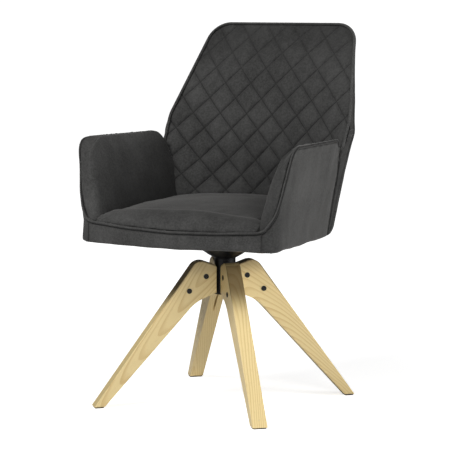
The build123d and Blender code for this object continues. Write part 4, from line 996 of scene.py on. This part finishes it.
def shell_rim(edge):
    """The side strip of the rear cover, which bellies a little and is drawn in behind the arms."""
    x, y, z = edge.T
    front_y = np.where(z < 396, back_y(0.5, x, z) + 4, back_y(0, x, z) + 2.0)
    arm_rear = arm_level(z, REAR_Y) + 3.0
    lap = np.where(z > 600, 0.0, 1.0)
    offsets = []
    for k in range(1, RIM_STEPS + 1):
        t = k / RIM_STEPS
        place = y + (front_y - y) * t
        belly = 1.6 * (1 - (2 * t - 1) ** 4) - 0.6 - 4.0 * (1 - t)
        offsets.append((place, belly - lap * rise(arm_rear - place, -3.0, 3.0) * 5.0))
    return [*offsets, (front_y + 1.0, -6.0), (back_y(0.5, x, z) + 0.3, -6.5)]


class CHAIR_OT_back(bpy.types.Operator):
    """Makes the quilted front and rear of the back, its side strip, stitches and piping"""
    bl_idname = "chair.back"
    bl_label = "Make the back"

    def execute(self, context):
        quilted = cover_fabric("charcoal_quilted", quilted=True)
        seam = back_piping_line()
        front = quilted_shell("back_front_cover", 0.0, -1, BACK_PAD_LOW, pad_rim)
        finish_cover(front, seam)
        seated(front, quilted, nodes=("back_pad",))
        rear = quilted_shell("back_rear_cover", 1.0, 1, BACK_LOW, shell_rim)
        finish_cover(rear, seam)
        lifted_off(rear, "back_core", gap=1.0, top=BACK_CORE_TOP)
        self.shade_strip(rear)
        seated(rear, quilted, nodes=("back_shell",))
        self.add_stitches(context)
        add_piping("back_piping_cord", seam, "piping_back")
        return {"FINISHED"}

    def shade_strip(self, rear):
        """Shades the narrow side strip, most where it meets the arm."""
        points, normals = points_normals(rear)
        crease = np.zeros(len(points), np.float32)
        rear.data.attributes["crease"].data.foreach_get("value", crease)
        side = rise(np.abs(normals[:, 0]), 0.55, 0.85)
        arm = points[:, 1] - arm_level(points[:, 2], REAR_Y)
        beside = (1 - rise(arm, 2.0, 14.0)) * (points[:, 2] < 632.0)
        write_painted_shade(rear, np.maximum(crease, side * np.maximum(0.55, 0.9 * beside)))

    def add_stitches(self, context):
        settings = context.scene.chair_quilt
        thread = thread_material()
        for name, share, outward, low in (("back_front_stitches", 0.0, -1, 430.0),
                                          ("back_rear_stitches", 1.0, 1, 397.0)):
            piece = line_object(name, stitch_lines(share, outward, low, settings))
            stitch_tree().applied(piece, {
                "Pitch": settings.pitch, "Length": settings.stitch, "Thread": settings.thread,
                "Seed": 7, "Material": thread})
            seated(piece, thread)


def stitch_lines(share, outward, low, settings):
    """The stitch lines on a face of the back, each as points between the edges of its outline."""
    side = back_side(1.0)
    depth = settings.puff / MM + settings.groove / MM - 0.25
    lines = []
    for lean in (-1, 1):
        for count in range(-14, 22):
            z = np.arange(low, BACK_TOP - 5, 2.0)
            x = CROSSING_X + DIAMOND_WIDTH * (count - (z - CROSSING_Z) / DIAMOND_HEIGHT) * lean
            keep = np.abs(x) < np.interp(z, side[:, 1], side[:, 0]) - 6.0
            if keep.sum() < 4:
                continue
            x, z = x[keep], z[keep]
            y = back_y(share, x, z) - outward * depth - (tuck(z) if outward > 0 else 0.0)
            lines.append(np.stack([x, y, z], axis=1))
    return lines


def lifted_off(piece, node, gap, top):
    """Lifts the rear cover to a gap over a panel in it, and less and less past its edges."""
    core = node_copy("core_copy", node)
    tree = skin_tree(core)
    bpy.data.objects.remove(core)
    points, normals = points_normals(piece)
    x, y, z = points.T
    level = np.minimum(z, top)
    fade = 1 - rise(z, top, top + 34.0)
    lift = np.zeros(len(points))
    for share, weight in ((0.90, 0.25), (0.95, 0.6), (1.0, 1.0)):
        beyond = back_y(1.0, x, z) - back_y(1.0, x * share, level)
        for k in np.nonzero((normals[:, 1] > 0.3) & (fade > 0))[0]:
            start = Vector((x[k] * share, y[k] + 60.0, level[k]))
            hit = tree.ray_cast(start, Vector((0, -1, 0)), 120.0)[0]
            if hit is not None:
                need = (hit.y + gap + beyond[k] - y[k]) * fade[k] * weight
                lift[k] = max(lift[k], need)
    points[:, 1] += lift
    set_axis_points(piece.data, points)


def finish_cover(piece, seam):
    """Paints shade on a cover: dark beside its seam, a little all over, more low in the back's middle and towards
    its top; and gives it small unevenness.
    """
    points, normals = points_normals(piece)
    uneven = waves(points, 46.0, 0.5, 3.0) + waves(points, 17.0, 0.22, 5.0)
    x, z = points[:, 0], points[:, 2]
    # Painted shade, low in the middle of the back and towards its top.
    low = 0.20 * rise(x, -140.0, 40.0) * (1 - rise(x, 130.0, 240.0)) * (1 - rise(z, 520.0, 690.0))
    top = 0.24 * rise(z, 760.0, 880.0)
    beside = 0.95 * (1 - rise(near_line(points, seam)[0], 3.4, 6.8))
    write_painted_shade(piece, np.maximum(beside, 0.10 + low + top))
    set_axis_points(piece.data, points + normals * uneven[:, None])


def side_piping_line():
    """Where the back's cord runs on down the rear edge of the right arm."""
    top = back_piping_line()[0]
    corners = [((top[0], top[1], top[2] + 2.0), 0)]
    for height in (575.0, 520.0, 450.0, HEM_LOW + 4):
        place = (arm_level(height, REAR_X) + 1.0, arm_level(height, REAR_Y) + 4.5, height)
        corners.append((place, 40))
    return rounded(corners, PIPING_STEP)


def add_piping(name, line, *nodes):
    """A covered cord along a line, in place of CAD nodes if it stands for any."""
    settings = bpy.context.scene.chair_fabric
    cloth = shared_material("charcoal_piping", lambda: cover_fabric("charcoal_piping"))
    piece = line_object(name, [line])
    cord_tree().applied(piece, {"Radius": settings.piping, "Fold": 0.0007, "Material": cloth})
    turned_out(piece)
    points, normals = points_normals(piece)
    # Painted shade on the cord: on its underside, and on the arms on the side that faces +x.
    under = rise(-normals[:, 2], 0.0, 0.5)
    aside = rise(normals[:, 0], 0.3, 0.7) * rise(np.abs(points[:, 0]), 225.0, 245.0)
    write_painted_shade(piece, 0.8 * np.maximum(under, aside * (points[:, 1] < 110.0)))
    seated(piece, cloth, nodes=nodes)


# ---------------------------------------------------------------- arms and seat
def arm_depth(points):
    """How deep points lie behind the outer face of their arm, and the way out in plan view."""
    fx, fy, rx, ry = [arm_level(points[:, 2], k) for k in ARM_COLUMNS]
    along = np.stack([rx - fx, ry - fy], axis=1)
    along /= np.linalg.norm(along, axis=1)[:, None]
    out = np.stack([along[:, 1], -along[:, 0]], axis=1)
    gap = np.stack([np.abs(points[:, 0]) - fx, points[:, 1] - fy], axis=1)
    return -(gap * out).sum(axis=1), out


def pressed(piece, pressure, cap, frames=20):
    """Swells a soft piece with a cloth simulation and caps how far a point may move."""
    before = axis_points(piece.data)
    cloth = piece.modifiers.new("cloth", "CLOTH")
    cloth.settings.use_pressure = True
    cloth.settings.uniform_pressure_force = pressure
    cloth.settings.effector_weights.gravity = 0.0
    cloth.settings.quality = 5
    scene = bpy.context.scene
    for frame_number in range(1, frames + 1):
        scene.frame_set(frame_number)
    settled(piece)
    scene.frame_set(1)
    moved = axis_points(piece.data) - before
    size = np.linalg.norm(moved, axis=1)
    share = np.minimum(1.0, cap / np.maximum(size, 1e-6))
    set_axis_points(piece.data, before + moved * share[:, None])


class CHAIR_OT_arms(bpy.types.Operator):
    """Makes the padded arms, their outer panels, the apron and the piping round them"""
    bl_idname = "chair.arms"
    bl_label = "Make the arms"

    def execute(self, context):
        settings = context.scene.chair_fabric
        cloth = shared_material("charcoal_cloth", cover_fabric)
        line = piping_line()
        sides = (("right", 1), ("left", -1))
        pads = {}
        for side, sign in sides:
            nodes = [part + side for part in ("arm_pad_", "arm_outer_", "arm_core_")]
            pads[side] = soft_copy("arm_pad_cover_" + side, nodes, settings.voxel)
            self.shape_pad(pads[side], settings, line, sign)
        self.lift_left(pads["left"])
        line = laid_on(line, pads.values(), low=455.0, high=500.0)
        for side, sign in sides:
            panel = new_mesh("arm_outer_cover_" + side, *side_panel(line, sign))
            self.shape_panel(panel, line, sign)
            if side == "left":
                self.lift_left(panel)
            pad = pads[side]
            set_axis_points(pad.data, tucked_under(axis_points(pad.data), panel, PAD_GAP))
            self.shade_pad(pad, line)
            seated(pad, cloth, nodes=("arm_pad_" + side,))
            self.backed(panel, cloth, "arm_outer_" + side, 0.3)
        apron = new_mesh("seat_apron_cover", *apron_sheet(line))
        self.shape_apron(apron, settings, line)
        self.backed(apron, cloth, "seat_apron", 0.4)
        add_piping("front_piping_cord", line, "piping_front")
        for side, sign in sides:
            add_piping("side_piping_cord_" + side, side_piping_line() * [sign, 1, 1])
        return {"FINISHED"}

    def backed(self, sheet, cloth, node, fill):
        """Gives a sheet its thickness and lets it stand for a node."""
        with_modifier(sheet, "SOLIDIFY", thickness=COVER_THICKNESS * MM, offset=-1.0)
        seated(sheet, cloth, nodes=(node,))

    def lift_left(self, piece):
        points = axis_points(piece.data)
        points[:, 2] += LEFT_ARM_LIFT * rise(points[:, 2], 540.0, ARM_TOP - 4)
        set_axis_points(piece.data, points)

    def shape_pad(self, pad, settings, line, sign):
        points, normals = points_normals(pad)
        depth, out = arm_depth(points)
        distance, run = near_line(points, line)
        soft = waves(points, 75.0, 1.5 * settings.wrinkle / MM, 11.0 + sign, (1.0, 1.0, 0.6))
        soft += waves(points, 28.0, 0.5 * settings.wrinkle / MM, 13.0 + sign)
        phase = run / 8.5 + 2.2 * np.sin(run / 31.0 + sign)
        pucker = settings.pucker / MM * np.sin(phase) * np.exp(-(distance / 15.0) ** 2)
        inner = rise(depth, 3.0, 9.0)
        belly = 2.2 * inner * rise(distance, 12.0, 60.0)
        behind = points[:, 1] - arm_level(points[:, 2], FRONT_Y)
        band = 3.4 * inner * (1 - rise(behind, 10.0, 55.0)) * rise(points[:, 2], 470.0, 560.0)
        points += normals * ((soft + belly + band) * inner + pucker)[:, None]
        shift = 1.6 * rise(depth, 2.5, 0.5) * rise(distance, 4.0, 12.0)
        points[:, 0] -= np.sign(points[:, 0]) * out[:, 0] * shift
        points[:, 1] -= out[:, 1] * shift
        set_axis_points(pad.data, corners_rounded(points))

    def shade_pad(self, pad, line):
        """Paints shade: dark along the piping, soft where the inner side runs back to the fold at the seat and low
        down, and on the right arm's front band.
        """
        points = axis_points(pad.data)
        depth = arm_depth(points)[0]
        seam = 0.9 * (1 - rise(near_line(points, line)[0], 4.2, 7.2))
        behind = points[:, 1] - arm_level(points[:, 2], FRONT_Y)
        inner = rise(depth, 6.0, 14.0) * rise(points[:, 2], 632.0, 590.0)
        shade = 0.28 * rise(behind, 40.0, 100.0) + 0.20 * rise(behind, 90.0, 290.0)
        low = 0.22 * rise(points[:, 2], 580.0, 480.0) * rise(behind, 10.0, 60.0)
        right = rise(points[:, 0], 0.0, 1.0)
        band = 0.26 * right * (1 - rise(behind, 24.0, 70.0)) * rise(depth, 2.0, 6.0)
        write_painted_shade(pad, np.maximum(seam, (shade + low) * inner + band))

    def shape_panel(self, panel, line, sign):
        points, normals = points_normals(panel)
        distance, run = near_line(points, line)
        streak = waves(points, 34.0, 0.9, 17.0 + sign, (1.0, 1.0, 0.16))
        streak += waves(points, 90.0, 1.4, 19.0 + sign, (1.0, 1.0, 0.5))
        pucker = 0.5 * np.sin(run / 7.0 + np.sin(run / 23.0)) * np.exp(-(distance / 14.0) ** 2)
        rear = arm_level(points[:, 2], REAR_Y) - points[:, 1]
        seam = corner_seam(points)
        # Painted shade along the piping and the corner seam, and over the front part of the panel below its top.
        crease = np.maximum(0.95 * (1 - rise(distance, 4.4, 7.2)), 0.65 * seam)
        turn = 0.30 * (1 - rise(points[:, 1], -210.0, -100.0)) * rise(points[:, 2], 622.0, 560.0)
        write_painted_shade(panel, np.maximum(crease, turn))
        roll = 4.0 * (1 - rise(rear, -0.5, 3.0)) - 1.4 * np.exp(-((rear - 5.0) / 3.0) ** 2)
        belly = 2.2 * rise(distance, 4.0, 60.0) * rise(rear, 0.0, 16.0)
        move = streak * rise(distance, 5, 25) + pucker - roll + belly - 0.7 * seam
        self.hemmed(panel, points, normals, move, PANEL_HEM)

    def shape_apron(self, apron, settings, line):
        points, normals = points_normals(apron)
        distance, run = near_line(points, line)
        phase = run / 5.6 + 2.1 * np.sin(run / 29.0) + 0.8 * np.sin(run / 11.0)
        height = rise(points[:, 2], 396.0, 434.0) * rise(distance, 2.0, 5.0)
        pucker = 0.9 * settings.pucker / MM * np.sin(phase) * height
        pucker += waves(points, 52.0, 1.3, 31.0, (1.0, 1.0, 0.3))
        seam = corner_seam(points)
        # Painted shade beside the piping and on the corner seams, and a little all over.
        beside = 0.95 * (1 - rise(distance, 4.0, 6.8))
        write_painted_shade(apron, np.maximum(np.maximum(beside, 0.65 * seam), 0.07))
        move = pucker * rise(distance, 0.0, 6.0) - 0.7 * seam
        self.hemmed(apron, points, normals, move, APRON_HEM)

    def hemmed(self, sheet, points, normals, move, depth):
        """Moves a sheet's points along their normals, and curls and waves its lower edge."""
        points = points + normals * (move - hem_roll(points[:, 2], depth))[:, None]
        points[:, 2] += hem_wave(points)
        set_axis_points(sheet.data, points)


def corners_rounded(points):
    """Draws the points at the arms' top corners onto rounder corners in side view."""
    points = points.copy()
    front, rear = arm_level(points[:, 2], FRONT_Y), arm_level(points[:, 2], REAR_Y)
    softer = 1 + ARM_INNER_SOFTER * rise(arm_depth(points)[0], 4.0, 26.0)
    for edge, inward, (along, high) in ((front, 1, ARM_FRONT_ROUND), (rear, -1, ARM_REAR_ROUND)):
        if inward > 0:
            along, high = along * softer, high * (1 + (softer - 1) * 0.6)
        ahead = 1 - inward * (points[:, 1] - edge) / along
        above = 1 - (ARM_TOP - points[:, 2]) / high
        reach = np.hypot(ahead, above)
        outside = (ahead > 0) & (above > 0) & (reach > 1.0)
        excess = np.where(outside, 1 - 1 / np.maximum(reach, 1.0), 0.0)
        points[:, 1] += inward * ahead * along * excess
        points[:, 2] -= above * high * excess
    return points


def front_half(line):
    """The right half of the cord, from the middle of the seat to the front corner of the arm."""
    half = line[(line[:, 0] >= 0) & (line[:, 1] < -60.0)]
    return half[np.argsort(half[:, 0])]


def side_rows(line, heights):
    """The outline of an arm's outer panel in plan view at each height, from front to rear."""
    half = front_half(line)
    upper = half[half[:, 0] > SEAM_X]
    upper = upper[np.argsort(upper[:, 2])]
    seam_y = np.interp(SEAM_X, half[:, 0], half[:, 1])
    rows = []
    for height in heights:
        fx, fy, rx, ry = [arm_level(height, k) for k in ARM_COLUMNS]
        front, rear = np.array([max(fx, ARM_PANEL_HALF_WIDTH), fy]), np.array([rx, ry])
        side = unit(rear - front)
        along, high = ARM_REAR_ROUND
        above = min(1.0, max(0.0, 1 - (ARM_TOP - height) / high))
        rear = rear - side * along * (1 - (1 - above ** 2) ** 0.5)
        start = np.array([SEAM_X, seam_y])
        if height > upper[0, 2]:
            start = np.array([np.interp(height, upper[:, 2], upper[:, k]) for k in (0, 1)])
        ahead = (start - front) @ side
        turn = CORNER_TURN * (1 - rise(np.array(height), 470.0, 520.0))
        if turn > 1.0:
            end = front + side * turn
            t = np.linspace(0, 1, 16)[:, None]
            bend = start * (1 - t) ** 2 + 2 * front * t * (1 - t) + end * t ** 2
        else:
            bend = np.array([start, front + side * (ahead + 2.0)])
        rows.append(columns_along(np.concatenate([bend, rear[None, :]]), PANEL_COLUMNS))
    return rows


def grid_faces(rows, columns, flip=False):
    """Quads of a grid whose points are numbered row by row."""
    faces = []
    for j in range(rows - 1):
        for i in range(columns - 1):
            a = j * columns + i
            quad = (a, a + 1, a + 1 + columns, a + columns)
            faces.append(quad[::-1] if flip else quad)
    return faces


def side_panel(line, sign):
    """Points and faces of one arm's outer panel, with a strip that turns in under its hem."""
    heights = HEM_LOW + (ARM_TOP - HEM_LOW) * np.sin(np.linspace(0, pi / 2, PANEL_ROWS))
    heights = np.concatenate([[HEM_LOW - 0.4], heights])
    rows = side_rows(line, heights)
    points = np.array([(sign * x, y, z) for row, z in zip(rows, heights) for x, y in row])
    return points, grid_faces(len(heights), len(rows[0]), flip=sign < 0)


def apron_sheet(line):
    """Points and faces of the apron below the cord, with a strip that turns in under its hem."""
    half = front_half(line)
    across = np.linspace(-SEAM_X, SEAM_X, APRON_COLUMNS)
    top_y, top_z = [np.interp(np.abs(across), half[:, 0], half[:, k]) for k in (1, 2)]
    top = list(zip(across, top_y, top_z))
    shares = np.concatenate([[-0.01], np.linspace(0, 1, APRON_ROWS)])
    points = [(x, y, HEM_LOW + (z - HEM_LOW) * v) for v in shares for x, y, z in top]
    points += [(x, y + 15.0, z - 2.0) for x, y, z in top]
    return np.array(points), grid_faces(len(shares) + 1, len(across))


def tucked_under(points, panel, gap):
    """Pushes points that lie outside a panel, or just inside it, to a gap behind it."""
    tree = skin_tree(panel)
    moved = points.copy()
    for k, place in enumerate(points):
        found, normal = tree.find_nearest(Vector(place), 26.0)[:2]
        if found is None:
            continue
        away = Vector(place) - found
        outside = away.dot(normal)
        aside = (away - normal * outside).length
        if outside > -gap and aside < 0.8:
            moved[k] = found - normal * gap
    return moved


def hem_roll(height, depth):
    """How far the covers' lower edge curls in, and the strip below it, in millimetres."""
    return np.where(height < HEM_LOW - 0.1, depth, curled(height - HEM_LOW, HEM_ROUND))


def hem_wave(points):
    """How far the covers' lower edge is lifted or dropped; its right front corner sits high."""
    low = 1 - rise(points[:, 2], HEM_LOW, HEM_LOW + 34.0)
    lift = 5.5 * rise(points[:, 0], -40.0, 200.0) * (1 - rise(points[:, 1], -200.0, 20.0))
    drop = 2.5 * rise(points[:, 1], 20.0, 140.0)
    return low * (waves(points, 48.0, 1.6, 37.0, (1.0, 1.0, 0.0)) + lift - drop)


def laid_on(line, pieces, low, high):
    """A line drawn onto the nearest faces of pieces, fully above a height, and evened out."""
    tree = skin_tree(*pieces)
    share = rise(line[:, 2], low, high)[:, None]
    nearest = []
    for place in line:
        found, normal = tree.find_nearest(Vector(place))[:2]
        nearest.append(found + normal * PIPING_LIFT)
    laid = line + (np.array(nearest) - line) * share
    for step in range(LAID_STEPS):
        laid[1:-1] = laid[:-2] / 4 + laid[1:-1] / 2 + laid[2:] / 4
    return laid


def corner_seam(points):
    """1 on the upright seams at the front corners, and 0 away from them."""
    near = np.exp(-((np.abs(points[:, 0]) - SEAM_X) / 1.8) ** 2)
    return near * (points[:, 1] < -200.0) * (points[:, 2] < 441.0)


class CHAIR_OT_seat(bpy.types.Operator):
    """Makes the crowned seat cushion"""
    bl_idname = "chair.seat"
    bl_label = "Make the seat"

    def execute(self, context):
        settings = context.scene.chair_fabric
        cloth = shared_material("charcoal_cloth", cover_fabric)
        line = piping_line()
        cushion = soft_copy("seat_cushion_cover", ["seat_cushion"], settings.voxel * 1.25, 6)
        pressed(cushion, pressure=3.0, cap=3.0)
        points, normals = points_normals(cushion)
        distance, run = near_line(points, line)
        soft = waves(points, 95.0, 2.2 * settings.wrinkle / MM, 23.0)
        soft += waves(points, 30.0, 0.45 * settings.wrinkle / MM, 29.0)
        phase = run / 6.8 + 1.7 * np.sin(run / 37.0)
        pucker = settings.pucker / MM * np.sin(phase) * np.exp(-(distance / 20.0) ** 2)
        # Painted shade: dark along the piping, a little all over, and a painted shadow of the right arm on the
        # right part of the seat behind its front edge.
        beside = 0.08 + 0.28 * rise(points[:, 0], 40.0, 140.0) * rise(points[:, 1], -225.0, -150.0)
        write_painted_shade(cushion, np.maximum(0.6 * (1 - rise(distance, 3.2, 5.2)), beside))
        top = rise(normals[:, 2], 0.1, 0.6)
        full = 2.2 * (1 - rise(normals[:, 2], 0.3, 0.8)) * rise(np.abs(points[:, 0]), 150.0, 200.0)
        full = full * (1 + 1.3 * (1 - rise(points[:, 1], -215.0, -150.0)))
        set_axis_points(cushion.data, points + normals * (soft * top + pucker + full)[:, None])
        seated(cushion, cloth, nodes=("seat_cushion",))
        return {"FINISHED"}


# ---------------------------------------------------------------- pieces kept from the CAD
class CHAIR_OT_base(bpy.types.Operator):
    """Gives the legs, glides and metal pieces their materials"""
    bl_idname = "chair.base"
    bl_label = "Dress the base"

    def execute(self, context):
        for leg, (azimuth, seed) in LEGS.items():
            painted(frame["nodes"]["leg_" + leg], leg_wood("leg_wood_" + leg, azimuth, seed))
        made = cad_materials()
        for part in frame["record"]["subparts"]:
            if part["material_slot"] in made:
                painted(frame["nodes"][part["node"]], made[part["material_slot"]])
        return {"FINISHED"}


# ---------------------------------------------------------------- stage
class CHAIR_OT_stage(bpy.types.Operator):
    """Sets up the floor, the lights and the camera"""
    bl_idname = "chair.stage"
    bl_label = "Set up the stage"

    def execute(self, context):
        settings = context.scene.chair_stage
        self.add_floor(settings)
        self.add_camera(context, settings)
        self.add_world(context, settings)
        for name, (azimuth, elevation, size) in LIGHTS.items():
            power = getattr(settings, name)
            self.add_light(name + "_light", radians(azimuth), radians(elevation), size, power)
        context.scene.view_settings.view_transform = "Standard"
        return {"FINISHED"}

    def add_floor(self, settings):
        mesh = bpy.data.meshes.new("floor")
        corners = [(-1, -1), (1, -1), (1, 1), (-1, 1)]
        points = [(x * FLOOR_REACH, y * FLOOR_REACH, 0) for x, y in corners]
        mesh.from_pydata(points, [], [(0, 1, 2, 3)])
        g = Graph("floor")
        grain = g.noise(g.place(), 30.0, 2.0)
        seen = g.add("ShaderNodeLightPath", output="Is Camera Ray")
        x, y, z = g.parts(g.place())
        away = ((x * x + y * y) ** 0.5).rise(0.5, 1.6)
        glow = g.mix(away, (settings.glow,) * 3, (1, 1, 1))
        g.surface({"Specular IOR Level": 0.1, "Emission Strength": 1.05},
                  base_color=g.mix(grain * 0.05, settings.floor, (1, 1, 1)),
                  roughness=0.8 + grain * 0.1, emission_color=g.mix(seen, (0, 0, 0), glow))
        mesh.materials.append(g.owner)
        placed("floor", mesh)

    def add_camera(self, context, settings):
        data = bpy.data.cameras.new("camera")
        data.lens, data.sensor_width, data.clip_end = settings.lens, 36.0, 50.0
        camera = placed("camera", data)
        turn, distance = radians(settings.azimuth), settings.distance
        camera.location = (distance * sin(turn), AXIS_Y - distance * cos(turn), settings.height)
        camera.rotation_euler = (pi / 2 - radians(settings.pitch), 0.0, turn)
        context.scene.camera = camera

    def add_world(self, context, settings):
        g = Graph("world", "worlds")
        seen = g.add("ShaderNodeLightPath", output="Is Camera Ray")
        soft = g.add("ShaderNodeBackground", None, {"Strength": settings.ambient})
        white = g.add("ShaderNodeBackground", None, {"Color": (1, 1, 1, 1), "Strength": 1.1})
        both = g.add("ShaderNodeMixShader", None, [seen, soft, white])
        context.scene.world = g.shown("ShaderNodeOutputWorld", both)

    def add_light(self, name, turn, lift, size, power):
        data = bpy.data.lights.new(name, "AREA")
        data.shape, data.size, data.energy = "DISK", size, power
        light = placed(name, data)
        back = Vector((sin(turn) * cos(lift), -cos(turn) * cos(lift), sin(lift)))
        light.location = LIGHT_TARGET + back * LIGHT_DISTANCE
        light.rotation_mode = "QUATERNION"
        light.rotation_quaternion = back.to_track_quat("Z", "Y")


# ---------------------------------------------------------------- add-on
OPERATORS = (CHAIR_OT_base, CHAIR_OT_back, CHAIR_OT_arms, CHAIR_OT_seat, CHAIR_OT_stage)


class CHAIR_PT_panel(bpy.types.Panel):
    """Settings and steps of the chair's looks"""
    bl_idname = "CHAIR_PT_panel"
    bl_label = "Chair"
    bl_space_type = "VIEW_3D"
    bl_region_type = "UI"
    bl_category = "Chair"

    def draw(self, context):
        layout = self.layout
        for name, group in SETTINGS.items():
            box = layout.box()
            box.label(text=group.__doc__)
            for key in group.__annotations__:
                box.prop(getattr(context.scene, name), key)
        for operator in OPERATORS:
            layout.operator(operator.bl_idname)


def register():
    for name, group in SETTINGS.items():
        bpy.utils.register_class(group)
        setattr(bpy.types.Scene, name, PointerProperty(type=group))
    for operator in OPERATORS:
        bpy.utils.register_class(operator)
    bpy.utils.register_class(CHAIR_PT_panel)


def unregister():
    bpy.utils.unregister_class(CHAIR_PT_panel)
    for operator in reversed(OPERATORS):
        bpy.utils.unregister_class(operator)
    for name, group in reversed(SETTINGS.items()):
        delattr(bpy.types.Scene, name)
        bpy.utils.unregister_class(group)


def main():
    """Registers the add-on and runs its steps."""
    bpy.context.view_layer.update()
    register()
    bpy.ops.chair.base()
    bpy.ops.chair.back()
    bpy.ops.chair.arms()
    bpy.ops.chair.seat()
    bpy.ops.chair.stage()


if __name__ == "__main__":
    main()
